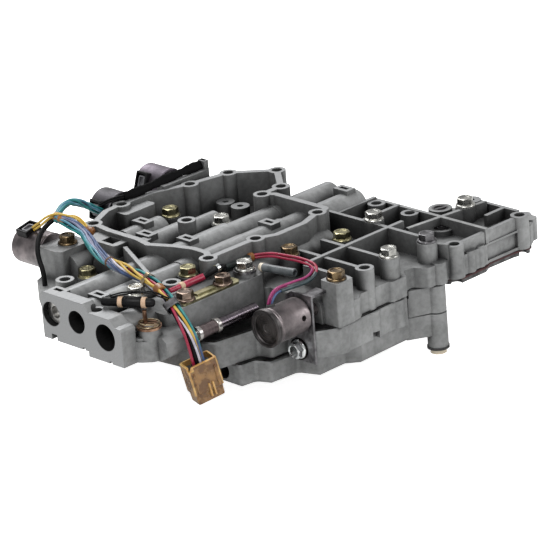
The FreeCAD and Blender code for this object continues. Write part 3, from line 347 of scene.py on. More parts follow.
        # Painted shade: near black deep in a hollow, dark in a pocket, none on open faces
        corner = add_node(tree, Kind.CORNERS, {"Distance": self.corner_reach_mm * MM}, samples=6,
                          only_local=True).outputs["AO"]
        painted_corner_shade = add_node(tree, Kind.RAMP, {"Fac": corner}, [
            (0.04, "161616"), (0.2, "525252"), (0.42, "949494"), (0.68, "cbcbcb"), (0.92, "fbfbfb")])
        colour = add_node(tree, Kind.MIX, {MIX_SHARE: 1.0, MIX_FIRST: colour, MIX_SECOND: painted_corner_shade},
                          data_type="RGBA", blend_type="MULTIPLY")
        # Painted shade: the walls inside the open bores turn near black
        painted_bore_shade = add_node(tree, Kind.RAMP, {"Fac": streaks}, [(0.3, self.bore_shade[0]), (0.7, self.bore_shade[1])])
        colour = add_node(tree, Kind.MIX, {MIX_SHARE: self.inside_bores(tree, place), MIX_FIRST: colour,
                                           MIX_SECOND: painted_bore_shade}, data_type="RGBA")
        rough = add_node(tree, Kind.RANGE, {"Value": machined, "From Min": 0.0, "From Max": 1.0,
                                            "To Min": self.skin_roughness, "To Max": self.milled_roughness},
                         clamp=True)
        grain = add_node(tree, Kind.NOISE, {"Vector": coordinates, "Scale": per_metre(self.grain_mm),
                                            "Detail": 3.0, "Roughness": 0.6})
        return {"Base Color": colour, "Metallic": self.metallic, "Roughness": rough,
                "Normal": self.relief(tree, grain, depth_mm=0.12, strength=0.55, rounding_mm=0.7)}


@dataclass(frozen=True)
class PlatedSteel(Finish):
    """Steel with a thin zinc layer and a coloured passivation that drifts between two tints."""

    name: str
    first: str
    second: str
    roughness: float = 0.28
    tint_mm: float = 5.0
    scratch_mm: float = 1.4

    def paint(self, tree: Tree, coordinates: Socket) -> Inputs:
        """Adds the drifting tint, fine scratches and a soft shine.

        Args:
            tree: the material's node tree.
            coordinates: the place on the piece, in metres.

        Returns:
            What goes into the shader's inputs.
        """
        drift = add_node(tree, Kind.NOISE, {"Vector": coordinates, "Scale": per_metre(self.tint_mm),
                                            "Detail": 3.0, "Roughness": 0.55})
        wear = add_node(tree, Kind.NOISE, {"Vector": coordinates, "Scale": per_metre(self.scratch_mm),
                                           "Detail": 4.0, "Roughness": 0.55})
        coat = self.coat(tree, drift, [(0.36, self.first), (0.64, self.second)], wear,
                         self.roughness - 0.07, self.roughness + 0.12)
        normal = self.relief(tree, wear, depth_mm=0.02, strength=0.35, rounding_mm=0.25)
        return {**coat, "Metallic": 1.0, "Normal": normal}


@dataclass(frozen=True)
class TurnedMetal(Finish):
    """Metal turned on a lathe: rings run round the axis, so the streaks follow X."""

    name: str
    first: str
    second: str
    roughness: float = 0.34
    groove_mm: float = 0.45
    patch_mm: float = 9.0

    def paint(self, tree: Tree, coordinates: Socket) -> Inputs:
        """Adds fine rings across the axis with patches of wear, half and half.

        Args:
            tree: the material's node tree.
            coordinates: the place on the piece, in metres.

        Returns:
            What goes into the shader's inputs.
        """
        squeeze = add_node(tree, Kind.STRETCH, {"Vector": coordinates, "Scale": (1.0, 0.05, 0.05)})
        rings = add_node(tree, Kind.NOISE, {"Vector": squeeze, "Scale": per_metre(self.groove_mm),
                                            "Detail": 2.0, "Roughness": 0.55})
        patches = add_node(tree, Kind.NOISE, {"Vector": coordinates, "Scale": per_metre(self.patch_mm),
                                              "Detail": 4.0, "Roughness": 0.55})
        halves = [add_node(tree, Kind.MATH, {0: one, 1: 0.5}, operation="MULTIPLY")
                  for one in (rings, patches)]
        both = add_node(tree, Kind.MATH, {0: halves[0], 1: halves[1]}, operation="ADD")
        coat = self.coat(tree, both, [(0.36, self.first), (0.62, self.second)], patches,
                         self.roughness - 0.06, self.roughness + 0.12)
        normal = self.relief(tree, rings, depth_mm=0.03, strength=0.5, rounding_mm=0.3)
        return {**coat, "Metallic": 1.0, "Normal": normal}


@dataclass(frozen=True)
class Moulded(Finish):
    """Moulded plastic or rubber: even colour with a fine moulded grain and slight scuffs."""

    name: str
    colour: str
    scuffed: str
    roughness: float = 0.45
    grain_mm: float = 0.8
    grain_depth_mm: float = 0.03
    glow_depth_mm: float = 0.0
    sheen: float = 0.5
    scuff_mm: float = 7.0

    def paint(self, tree: Tree, coordinates: Socket) -> Inputs:
        """Adds scuffs, grain and, for a clear plastic, light that enters the wall.

        Args:
            tree: the material's node tree.
            coordinates: the place on the piece, in metres.

        Returns:
            What goes into the shader's inputs.
        """
        scuff = add_node(tree, Kind.NOISE, {"Vector": coordinates, "Scale": per_metre(self.scuff_mm),
                                            "Detail": 5.0, "Roughness": 0.55})
        grain = add_node(tree, Kind.NOISE, {"Vector": coordinates, "Scale": per_metre(self.grain_mm),
                                            "Detail": 2.0, "Roughness": 0.55})
        painted = self.coat(tree, scuff, [(0.42, self.colour), (0.72, self.scuffed)], scuff,
                            self.roughness - 0.05, self.roughness + 0.12)
        painted |= {"IOR": 1.5, "Specular IOR Level": self.sheen,
                    "Normal": self.relief(tree, grain, self.grain_depth_mm, strength=0.6, rounding_mm=0.3)}
        if self.glow_depth_mm:
            painted |= {"Subsurface Weight": 0.35, "Subsurface Radius": (1.0, 0.55, 0.2),
                        "Subsurface Scale": self.glow_depth_mm * MM}
        return painted


@dataclass(frozen=True)
class StudioFloor(Finish):
    """Matt white board, lit from behind as on a light table, with a barely visible unevenness."""

    name: str = "lit_white_board"
    drift_mm: float = 300.0
    glow: float = 0.9

    def paint(self, tree: Tree, coordinates: Socket) -> Inputs:
        """Adds the white and matt face, with its own light only where it is looked at.

        Args:
            tree: the material's node tree.
            coordinates: the place on the piece, in metres.

        Returns:
            What goes into the shader's inputs.
        """
        drift = add_node(tree, Kind.NOISE, {"Vector": coordinates, "Scale": per_metre(self.drift_mm),
                                            "Detail": 2.0, "Roughness": 0.55})
        seen = add_node(tree, Kind.LIGHT_PATH).outputs["Is Camera Ray"]
        return {"Base Color": add_node(tree, Kind.RAMP, {"Fac": drift}, [(0.3, "f1f1f0"), (0.7, "f5f5f4")]),
                "Roughness": 0.9, "Emission Color": linear("ffffff"),
                "Emission Strength": add_node(tree, Kind.MATH, {0: seen, 1: self.glow}, operation="MULTIPLY")}


class Plating(Enum):
    """The plated and drawn steels seen on the bolts, cans and small steel parts."""

    BRIGHT = PlatedSteel("bright_zinc_plate", "8e8e8b", "c2c1bb", 0.24)
    CHROME = PlatedSteel("polished_zinc_plate", "b9bdbe", "dfe1e1", 0.14)
    YELLOW = PlatedSteel("yellow_zinc_plate", "6f6b52", "9b9576", 0.3)
    RAIL = PlatedSteel("pale_green_zinc_plate", "66634b", "918c6f", 0.36, 9.0)
    BRASSY = PlatedSteel("aged_yellow_zinc_plate", "4a3d2e", "7b694f", 0.28)
    REDDISH = PlatedSteel("reddish_zinc_plate", "584c45", "87766a", 0.3)
    DULL = PlatedSteel("dulled_zinc_plate", "525153", "7c7b7d", 0.36)
    PLAIN = PlatedSteel("plain_sheet_steel", "3c3c3c", "626262", 0.42)
    CAN = PlatedSteel("drawn_can_steel", "5a5556", "877f80", 0.4, 12.0)
    GREY_CAN = PlatedSteel("grey_can_steel", "414042", "5c5a5e", 0.46, 14.0)
    LILAC_CAN = PlatedSteel("lilac_can_steel", "58535a", "736c75", 0.48, 14.0)
    OILED = PlatedSteel("oiled_sheet_steel", "1a1a1a", "323232", 0.5)
    EYELET = PlatedSteel("tan_eyelet_plate", "6e5444", "a08069", 0.34)


class Insulation(Enum):
    """Colours of the wire insulation, PVC drawn over stranded wire."""

    LAVENDER = Moulded("lavender_pvc", "65677f", "85889e", 0.42)
    BLUE = Moulded("blue_pvc", "293a5c", "465b82", 0.42)
    TEAL = Moulded("teal_pvc", "12686b", "348a88", 0.42)
    YELLOW = Moulded("yellow_pvc", "ab8a2e", "c6aa55", 0.42)
    WHITE = Moulded("white_pvc", "a39ea8", "c6c1c8", 0.4)
    SKY = Moulded("sky_blue_pvc", "3d7186", "6396a6", 0.4)
    TUBE = Moulded("dark_teal_tube", "29363a", "49585c", 0.4)
    TAPE = Moulded("black_cloth_tape", "060607", "0e0e0f", 0.55, 1.6, 0.25, sheen=0.06)
    BLACK = Moulded("black_pvc", "060607", "101011", 0.45, sheen=0.12)
    RED = Moulded("red_pvc", "7e0f2c", "a02647", 0.36)
    PINK = Moulded("magenta_pvc", "7d1650", "9c346f", 0.38)


# Cast skin: dull and mottled. Turned metals: rings of light round the axis, the sharper the finer the cut
CAST = CastAluminium()
TURNED_ALUMINIUM = TurnedMetal("turned_aluminium", "858482", "b5b4b1", 0.32)
GROUND_STEEL = TurnedMetal("ground_steel", "8a8684", "c4c1be", 0.22)
ROD_STEEL = TurnedMetal("polished_rod_steel", "57505a", "837b80", 0.2)
BARREL_STEEL = TurnedMetal("etched_barrel_steel", "4a4142", "756a6a", 0.42, 0.8)
CAP_STEEL = TurnedMetal("blackened_cap_steel", "2c2a2a", "5c5959", 0.4, 0.8)
# Springs, keys and stamped clips: steel in dark or tan, with a soft shine on its edges
SPRING_STEEL = PlatedSteel("spring_steel", "3a3836", "5d5a57", 0.38)
KEY_STEEL = PlatedSteel("blackened_key_steel", "161616", "2a2928", 0.5)
TAN_STEEL = PlatedSteel("tan_clip_steel", "6f6350", "9c8d74", 0.36)
# Rubber and black nylon: nearly black and matt. Pale nylon: even and satin. Amber nylon: light enters it
BLACK_RUBBER = Moulded("black_rubber", "060606", "0f0f10", 0.6, 1.0, sheen=0.1)
BLACK_NYLON = Moulded("black_nylon", "070708", "131315", 0.4, sheen=0.16)
CREAM_NYLON = Moulded("cream_nylon", "b5977c", "cdb498", 0.45)
WARM_NYLON = Moulded("warm_white_nylon", "cfc3ae", "e4dac8", 0.45)
AMBER_NYLON = Moulded("amber_nylon", "5f4122", "987444", 0.24, glow_depth_mm=3.0)
PALE_NYLON = Moulded("pale_amber_nylon", "a17c45", "cfae72", 0.3, glow_depth_mm=3.0)
GREY_NYLON = Moulded("grey_nylon", "4d4d50", "6c6c70", 0.4)
# Varnished sleeves and tape, waxed thread and gasket fibre: an even colour over a fine weave
DARK_SLEEVE = Moulded("dark_green_sleeve", "0a100f", "1f2a28", 0.34, 0.9, 0.06)
BROWN_THREAD = Moulded("waxed_brown_thread", "4a3019", "7a5430", 0.5, 0.6, 0.1)
AMBER_TAPE = Moulded("amber_varnished_tape", "6f4318", "9a6a32", 0.34, 1.4, 0.08)
GASKET_FIBRE = Moulded("gasket_fibre", "351517", "4d2628", 0.75, 0.6, 0.08)
RED_SLEEVE = Moulded("red_varnished_sleeve", "820f2d", "a62a4a", 0.34, 0.9, 0.06)
GREY_SLEEVE = Moulded("grey_varnished_sleeve", "414648", "65696c", 0.4, 0.9, 0.06)

NODE_FINISHES: dict[str, Finish] = {
    "upper_body": CAST, "middle_body": CAST, "lower_body": CAST,
    "upper_separator_plate": Plating.OILED.value, "lower_separator_plate": Plating.OILED.value,
    "extension_cover": Plating.PLAIN.value, "extension_gasket": GASKET_FIBRE,
    "retainer_plate": Plating.RAIL.value, "bolt_washer": Plating.DULL.value,
    "retainer_keys": KEY_STEEL, "manual_valve": GROUND_STEEL,
    "pressure_solenoid": Plating.CAN.value, "pressure_solenoid_cap": CAP_STEEL,
    "pressure_bracket": Plating.DULL.value, "slotted_plugs": Plating.DULL.value,
    "column_seal": BLACK_RUBBER, "column_sleeve": WARM_NYLON,
    "temperature_sensor": BLACK_NYLON, "sensor_bands": CREAM_NYLON, "sensor_bracket": Plating.EYELET.value,
    "solenoid_sockets": BLACK_NYLON, "harness_connector": AMBER_NYLON,
    "red_sleeve": RED_SLEEVE, "black_sleeve": BLACK_RUBBER, "grey_sleeve": GREY_SLEEVE,
}
FAMILY_FINISHES: dict[str, Finish] = {
    "bore_plug": TURNED_ALUMINIUM, "spool_valve": TURNED_ALUMINIUM, "spool_spring": SPRING_STEEL,
    "shift_solenoid": Plating.GREY_CAN.value,
}


# Meshes


def dress(thing: Piece, *finishes: Finish) -> Piece:
    """Gives an object its finishes, one per material slot.

    Args:
        thing: the mesh object.
        finishes: the finish of each slot in order.

    Returns:
        The same object.
    """
    materials = [finish.material() for finish in finishes]
    thing.data.materials.clear()
    for material in materials:
        thing.data.materials.append(material)
    return thing


def unit(vectors: np.ndarray | tuple) -> np.ndarray:
    """A vector, or each row of an array of them, at length one."""
    array = np.asarray(vectors, dtype=float)
    return array / np.linalg.norm(array, axis=-1, keepdims=True)


def turns_of(count: int) -> np.ndarray:
    """Angles of points spread evenly round a full turn."""
    return np.linspace(0, 2 * np.pi, count, endpoint=False)


def superellipse(angle: np.ndarray, power: float) -> list[np.ndarray]:
    """A rounded square's two coordinates: sign(c) |c| ^ (2 / power) of the angle's cosine and sine."""
    return [np.sign(wave) * np.abs(wave) ** (2 / power) for wave in (np.cos(angle), np.sin(angle))]


def grid_faces(rows: int, columns: int, wrap_rows: bool, wrap_columns: bool) -> np.ndarray:
    """Quads of a grid of points.

    Face (i, j) joins points (i, j), (i, j+1), (i+1, j+1) and (i+1, j), counted round where the grid closes.

    Args:
        rows: number of points one way.
        columns: number of points the other way.
        wrap_rows: the last row joins the first.
        wrap_columns: the last column joins the first.

    Returns:
        One row of four point numbers per face.
    """
    i = np.arange(rows if wrap_rows else rows - 1)
    j = np.arange(columns if wrap_columns else columns - 1)
    i, j = [a.ravel() for a in np.meshgrid(i, j, indexing="ij")]
    i_next, j_next = (i + 1) % rows, (j + 1) % columns
    row, next_row = i * columns, i_next * columns
    return np.stack([row + j, row + j_next, next_row + j_next, next_row + j], 1)


def surface(name: str, points: np.ndarray, wrap_rows: bool = False, wrap_columns: bool = True) -> Piece:
    """A mesh object over a grid of points, shaded smoothly between its sharp edges.

    Doubled points at seams and poles are merged, and the faces are turned outward.

    Args:
        name: the piece's name.
        points: rows by columns by three, in metres.
        wrap_rows: the last row joins the first.
        wrap_columns: the last column joins the first.

    Returns:
        The new object, linked to the scene.
    """
    faces = grid_faces(*points.shape[:2], wrap_rows, wrap_columns)
    mesh = bpy.data.meshes.new(name)
    mesh.vertices.add(points.shape[0] * points.shape[1])
    mesh.vertices.foreach_set("co", np.ascontiguousarray(points, dtype=np.float32).ravel())
    mesh.loops.add(faces.size)
    mesh.loops.foreach_set("vertex_index", faces.astype(np.int32).ravel())
    mesh.polygons.add(len(faces))
    mesh.polygons.foreach_set("loop_start", np.arange(0, faces.size, faces.shape[1], dtype=np.int32))
    mesh.update(calc_edges=True)
    work = bmesh.new()
    work.from_mesh(mesh)
    bmesh.ops.remove_doubles(work, verts=work.verts, dist=1e-7)
    bmesh.ops.recalc_face_normals(work, faces=work.faces)
    work.to_mesh(mesh)
    work.free()
    soften(mesh)
    return placed(name, mesh)


def soften(mesh: bpy.types.Mesh) -> None:
    """Shades a mesh smoothly, with its steep edges kept sharp."""
    mesh.shade_smooth()
    mesh.set_sharp_from_angle(angle=SHARP_ANGLE)


def placed(name: str, data: bpy.types.ID) -> Piece:
    """A new object, linked to the scene.

    Args:
        name: its name.
        data: its mesh, curve, camera or light.

    Returns:
        The object.
    """
    thing = bpy.data.objects.new(name, data)
    bpy.context.scene.collection.objects.link(thing)
    return thing


def joined(name: str, parts: list[Piece]) -> Piece:
    """Several mesh objects as one, with one material slot for each finish among them.

    Args:
        name: the name of the whole.
        parts: the objects, which are used up.

    Returns:
        The new object.
    """
    work = bmesh.new()
    materials: list[bpy.types.Material] = []
    for part in parts:
        first, before = len(materials), len(work.faces)
        materials.extend(part.data.materials)
        work.from_mesh(part.data)
        work.faces.ensure_lookup_table()
        for face in work.faces[before:]:
            face.material_index += first
    mesh = bpy.data.meshes.new(name)
    work.to_mesh(mesh)
    work.free()
    kept = list(dict.fromkeys(materials))
    numbers = np.zeros(len(mesh.polygons), dtype=np.int32)
    mesh.polygons.foreach_get("material_index", numbers)
    lookup = np.array([kept.index(material) for material in materials], dtype=np.int32)
    mesh.polygons.foreach_set("material_index", lookup[numbers])
    for material in kept:
        mesh.materials.append(material)
    for part in parts:
        bpy.data.objects.remove(part)
    return placed(name, mesh)


def axes_along(direction: np.ndarray | tuple, side_hint: Triple = RIGHT) -> np.ndarray:
    """Three unit vectors across and along a direction.

    Args:
        direction: the third axis.
        side_hint: the second axis stands square to this and to the direction.

    Returns:
        The vectors as rows: two across the direction and the direction itself.
    """
    along = unit(direction)
    side = np.cross(side_hint, along)
    if np.linalg.norm(side) < 1e-6:
        side = np.cross((0.0, 1.0, 0.0), along)
    side = unit(side)
    return np.stack([np.cross(along, side) * -1.0, side, along])


def turned(name: str, profile: Profile, origin: np.ndarray, direction: tuple | np.ndarray, around: int = 64,
           ring: bool = False) -> Piece:
    """A surface of revolution.

    Point (i, j) lies at origin + along[i] * direction + radius[i] * (cos a[j], sin a[j]) across it.

    Args:
        name: the piece's name.
        profile: (distance along, radius) pairs in millimetres, from axis to axis for a closed piece.
        origin: where distance zero lies, in metres.
        direction: the axis.
        around: points round the axis.
        ring: the profile is a closed loop, for a washer.

    Returns:
        The new object.
    """
    along, radius = (np.array(profile, dtype=float) * MM).T
    angle = turns_of(around)
    first, second, third = axes_along(direction)
    circle = np.cos(angle)[:, None] * first + np.sin(angle)[:, None] * second
    points = origin + along[:, None, None] * third + radius[:, None, None] * circle[None]
    return surface(name, points, wrap_rows=ring)


def tube(name: str, centre: np.ndarray, first: np.ndarray, second: np.ndarray | Triple,
         radius: np.ndarray | float, around: int, closed: bool = False) -> Piece:
    """A section carried along a path.

    Point (i, j) lies at centre[i] + radius[i] * (cos a[j] * first[i] + sin a[j] * second[i]).

    Args:
        name: the piece's name.
        centre: points of the path, in metres.
        first: one way across the path at each point.
        second: the other way across it, at each point or the same for all.
        radius: the section's radius in metres, at each point or the same for all.
        around: points round the section.
        closed: the path joins itself; if not, each end gets a pole.

    Returns:
        The new object.
    """
    angle = turns_of(around)
    second = np.broadcast_to(second, centre.shape)
    ring = np.cos(angle)[None, :, None] * first[:, None] + np.sin(angle)[None, :, None] * second[:, None]
    points = centre[:, None] + ring * np.broadcast_to(radius, len(centre))[:, None, None]
    if not closed:
        foot, tip = [end[None, None].repeat(around, 1) for end in (centre[0], centre[-1])]
        points = np.concatenate([foot, points, tip])
    return surface(name, points, wrap_rows=closed)


def boxy(name: str, rows: list[Triple], origin: np.ndarray, axes: np.ndarray, power: float = 7.0,
         around: int = 64) -> Piece:
    """A box or cup with rounded corners.

    Point (i, j) lies at height[i] along the third axis, and across it at half sizes a[i], b[i] times the
    superellipse of angle j.

    Args:
        name: the piece's name.
        rows: (height, half width, half depth) in millimetres, from pole to pole.
        origin: where height zero lies, in metres.
        axes: three unit vectors as rows.
        power: 2 gives an ellipse, larger numbers squarer corners.
        around: points round the axis.

    Returns:
        The new object.
    """
    height, wide, deep = (np.array(rows, dtype=float) * MM).T
    across, down = superellipse(turns_of(around) + np.pi / around, power)
    points = (origin + height[:, None, None] * axes[2] + wide[:, None, None] * across[None, :, None] * axes[0]
              + deep[:, None, None] * down[None, :, None] * axes[1])
    return surface(name, points)


def block(name: str, low: Triple, high: Triple, origin: np.ndarray, axes: np.ndarray,
          edge_mm: float = 0.3) -> Piece:
    """A solid block with softened edges.

    Args:
        name: the piece's name.
        low: one corner along the axes, in millimetres.
        high: the opposite corner.
        origin: where the axes meet, in metres.
        axes: three unit vectors as rows.
        edge_mm: width of the softened edges.

    Returns:
        The new object.
    """
    low_corner, high_corner = np.array(low, dtype=float), np.array(high, dtype=float)
    middle, half = (low_corner + high_corner) / 2, (high_corner - low_corner) / 2
    edge = min(edge_mm, float(half.min()) * 0.8)
    a, b, c = half
    rows = [(-c, 0, 0), (-c, a - edge, b - edge), (-c + edge, a, b), (c - edge, a, b),
            (c, a - edge, b - edge), (c, 0, 0)]
    return boxy(name, rows, origin + middle * MM @ axes, axes, 14.0, 48)


def on_housing(piece: Piece, *nodes: str, body: str = HOUSING) -> Piece:
    """Lets a piece ride on a body, in place of the CAD nodes that it shows.

    Args:
        piece: the finished piece.
        nodes: the CAD nodes that it replaces.
        body: the body that carries it.

    Returns:
        The same piece.
    """
    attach(piece, body)
    if nodes:
        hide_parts(*nodes)
    LOG.info("made %s", piece.name)
    return piece


# Fasteners


@dataclass
class FlangeBolt:
    """A flanged hexagon bolt with a chamfered crown and a dished top, sizes in millimetres."""

    across_flats: float = 10.0
    head_height: float = 6.0
    flange_radius: float = 6.6
    flange_height: float = 1.3
    shank_radius: float = 3.0
    crown_share: float = 0.96
    around: int = 72

    def points(self, seat: np.ndarray, length: float, axis: Triple, turn: float) -> np.ndarray:
        """The bolt's surface as rings from the shank's foot to the middle of the crown.

        A ring is a circle, or on the head a hexagon of radius flat / cos(angle from the nearest flat's
        middle). The crown's chamfer drops by tan 30 times what the hexagon stands beyond its circle.

        Args:
            seat: middle of the head's seat, in metres.
            length: shank length in millimetres.
            axis: the way the head points.
            turn: rotation of the hexagon in degrees.

        Returns:
            Rings by points by three.
        """
        flat, top, shank = self.across_flats / 2, self.head_height, self.shank_radius
        rim, base = self.flange_radius, self.flange_height
        crown = flat * self.crown_share
        shaft = [(0.0, -length), (shank - 0.5, -length), (shank, -length + 0.5), (shank, 0.0),
                 (rim - 0.15, 0.0), (rim, 0.15), (rim, base * 0.6), (rim - 0.25, base),
                 (flat + 0.75, base + 0.35)]
        head = [(flat, base + 0.5), (flat, top)]
        dish = [(crown, top), (crown - 0.7, top), (crown - 1.25, top - 0.55), (0.0, top - 0.62)]
        radius, height = np.array(shaft + head + dish, dtype=float).T
        angle = turns_of(self.around)
        off_flat = (angle - math.radians(turn)) % math.radians(60) - math.radians(30)
        spread = np.repeat(radius[:, None], self.around, axis=1)
        lift = np.repeat(height[:, None], self.around, axis=1)
        low_edge, top_edge = len(shaft), len(shaft) + 1
        spread[low_edge:top_edge + 1] /= np.cos(off_flat)
        lift[top_edge] -= (spread[top_edge] - crown) * math.tan(math.radians(30))
        first, second, third = axes_along(axis, (0.0, 1.0, 0.0))
        ring = np.cos(angle)[:, None] * first + np.sin(angle)[:, None] * second
        return seat + (lift[..., None] * third + spread[..., None] * ring[None]) * MM


@dataclass
class Fasteners:
    """All the bolts, each group in the finish seen in the photo.

    A group is its plating, the shank length in millimetres and the seats in the layout.
    """

    bolt: FlangeBolt = field(default_factory=FlangeBolt)
    groups: dict[str, tuple[Plating, float, list[Triple]]] = field(default_factory=lambda: {
        "deck_bolts": (Plating.REDDISH, 14.0, [(59.5, 3.6, 62.0), (92.9, 3.6, 62.0)]),
        "zinc_bolts": (Plating.BRIGHT, 20.0, [
            (184.6, -57.3, 64.5), (225.6, -4.8, 65.5), (288.5, -29.5, 61.0), (169.0, 83.4, 62.0),
            (39.0, 27.0, 67.0)]),
        "yellow_bolts": (Plating.YELLOW, 16.0, [
            (197.0, -2.4, 60.0), (160.0, 124.0, 62.0), (84.5, 26.8, 65.5), (64.0, 103.0, 54.0)]),
        "brass_bolts": (Plating.BRASSY, 25.0, [(133.5, -59.4, 66.0), (69.0, 126.0, 71.0),
                                               (150.5, 0.0, 64.0)]),
        "column_bolt": (Plating.DULL, 26.0, [(219.0, -58.8, 64.0)]),
        "washer_bolt": (Plating.BRIGHT, 20.0, [(113.5, 4.2, 65.0)]),
    })
    bracket_seat: Triple = (112.0, -43.0, 21.0)
    bracket_length: float = 14.0
    washer: Profile = ((0.0, 3.3), (0.0, 7.5), (0.7, 7.5), (0.9, 7.2), (0.9, 3.3))

    def build(self) -> None:
        """Makes each group of bolts, every head at its own angle, and puts it in place of its plain node."""
        for number, (node, (plating, length, seats)) in enumerate(self.groups.items()):
            parts = []
            for k, seat in enumerate(seats):
                turn = (number * 17 + k * 23) % 60
                bolt = surface(f"{node}_{k}", self.bolt.points(layout(seat), length, UP, turn))
                parts.append(dress(bolt, plating.value))
            on_housing(joined(node + "_detailed", parts), node)
        seat = layout(self.bracket_seat)
        points = self.bolt.points(seat, self.bracket_length, LEFT, 10)
        on_housing(dress(surface("bracket_bolt_detailed", points), Plating.CHROME.value), "bracket_bolt")
        on_housing(dress(turned("bracket_washer", self.washer, seat, LEFT, ring=True), KEY_STEEL))


# Harness


def eased(value: np.ndarray, low: float, high: float) -> np.ndarray:
    """Rises from 0 to 1 between two values: 3 t^2 - 2 t^3 of the share t of the way.

    Args:
        value: where to take it.
        low: 0 up to here.
        high: 1 from here on.

    Returns:
        The eased share at each value.
    """
    share = np.clip((value - low) / max(high - low, 1e-6), 0.0, 1.0)
    return share * share * (3 - 2 * share)


def travelled(path: np.ndarray) -> np.ndarray:
    """The length of a path up to each of its points: the running sum of its steps."""
    return np.concatenate([[0.0], np.cumsum(np.linalg.norm(np.diff(path, axis=0), axis=1))])


@dataclass(frozen=True)
class Wire:
    """One wire, sleeve or tape in a bundle.

    It lies at a distance and angle across the bundle, keeps to a stretch of it, and fans out to a place
    across the fitting at the bundle's far end. A tape is wide for its thickness and has a step at every turn
    of its wrap.
    """

    insulation: Insulation
    distance_mm: float = 0.0
    angle_deg: float = 0.0
    radius_mm: float = 0.9
    fan_mm: tuple[float, float] = (0.0, 0.0)
    stretch: tuple[float, float] = (0.0, 1.0)
    wide: float = 1.0
    wrap_mm: float = 0.0


@dataclass
class Cord:
    """A cord's route in the layout, with the wires that run along it.

    The wires cling together at the ties and loosen between them. From a share of the length on they fan out
    to the fitting, and they are tucked into it by some millimetres.
    """

    node: str
    route: list[Triple]
    radius_mm: float
    wires: list[Wire]
    far_end: str = "object"
    twist_turns: float = 0.0
    twist_between: tuple[float, float] = (0.0, 1.0)
    ties: tuple[float, ...] = (0.0, 1.0)
    loosening: float = 0.25
    fan_from: float = 1.0
    fan_axes: np.ndarray | None = None
    tuck_mm: float = 0.0
    viewed_from: Triple = (-0.6376, -0.6789, 0.3641)
    around: int = 14

    def spline(self) -> np.ndarray:
        """Follows the route's own NURBS spline, read back from a curve without a bevel.

        Returns:
            Points along it, in metres.
        """
        curve = bpy.data.curves.new(self.node + "_line", "CURVE")
        curve.dimensions = "3D"
        curve.resolution_u = 14
        line = curve.splines.new("NURBS")
        line.points.add(len(self.route) - 1)
        corners = np.ones((len(self.route), 4))
        corners[:, :3] = layout(self.route)
        line.points.foreach_set("co", corners.ravel())
        line.order_u = 3
        line.use_endpoint_u = True
        holder = placed(self.node + "_line", curve)
        bpy.context.view_layer.update()
        mesh = bpy.data.meshes.new_from_object(holder)
        points = np.zeros(len(mesh.vertices) * 3, dtype=np.float32)
        mesh.vertices.foreach_get("co", points)
        bpy.data.objects.remove(holder)
        bpy.data.meshes.remove(mesh)
        return points.reshape(-1, 3).astype(float)

    def place_at(self, point: Triple) -> tuple[np.ndarray, np.ndarray, float]:
        """Finds the point of the spline nearest to a point of the layout.

        Args:
            point: the point of the layout.

        Returns:
            The spline's point, its direction there and the share of the length that lies before it.
        """
        path = self.spline()
        nearest = int(np.argmin(np.linalg.norm(path - layout(point), axis=1)))
        distance = travelled(path)
        return path[nearest], np.gradient(path, axis=0)[nearest], float(distance[nearest] / distance[-1])

    def build(self, with_pieces: tuple = ()) -> Piece:
        """Wire k's line is path + distance * (cos, sin) of (its angle + twist + a slow swing), with the distance
        grown between the ties by 1 + loosening * |sin(pi * ties passed)|, and blended to its place on the
        fitting. Its section is an ellipse round that line, as wide as the tape is.

        Args:
            with_pieces: pieces and CAD nodes that are on the cord; not used.

        Returns:
            The cord's object.
        """
        path = self.spline()
        distance = travelled(path)
        total = float(distance[-1])
        line, share = path, distance / total
        if self.tuck_mm:
            steps = np.linspace(0.2, 1.0, 5)[:, None] * self.tuck_mm * MM
            line = np.concatenate([path, path[-1] - steps * self.fan_axes[2]])
            share = np.concatenate([share, np.ones(5)])
        tangent = unit(np.gradient(line, axis=0))
        side = unit(np.cross(tangent, self.viewed_from))
        away = np.cross(tangent, side)
        slack = np.abs(np.sin(np.pi * np.interp(share, self.ties, np.arange(len(self.ties)))))
        fan = eased(share, self.fan_from, 1.0)[:, None]
        twist = 2 * np.pi * self.twist_turns * eased(share, *self.twist_between)
        parts = []
        # Each wire swings and loosens a little differently, by its number
        for k, wire in enumerate(self.wires):
            swing = 0.3 * slack * np.sin(2 * np.pi * (3.1 * share + 0.37 * k)) * (wire.distance_mm > 0)
            turn = math.radians(wire.angle_deg) + twist + swing
            reach = wire.distance_mm * MM * (1 + self.loosening * slack * (1.0 + 0.3 * math.cos(2.1 * k)))
            offset = reach[:, None] * (np.cos(turn)[:, None] * side + np.sin(turn)[:, None] * away)
            if self.fan_axes is not None:
                offset = (1 - fan) * offset + fan * (np.array(wire.fan_mm) @ self.fan_axes[:2] * MM)
            kept = (share >= wire.stretch[0]) & (share <= wire.stretch[1])
            radius = np.full(np.count_nonzero(kept), wire.radius_mm * MM)
            # A wrapped tape steps up over every turn, and the turns differ a little in thickness
            if wire.wrap_mm:
                turns = share[kept] * total / (wire.wrap_mm * MM)
                radius = radius * (1.0 + 0.18 * (turns % 1.0) + 0.16 * np.sin(turns * 1.7 + 0.6))
            strand = tube(f"{self.node}_wire_{k}", (line + offset)[kept], side[kept] * wire.wide, away[kept],
                          radius, self.around)
            parts.append(dress(strand, wire.insulation.value))
        piece = joined(self.node + "_wires", parts)
        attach(piece, HOUSING)
        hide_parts(self.node)
        LOG.info("cord %s is %.1f mm long", self.node, total / MM)
        return piece


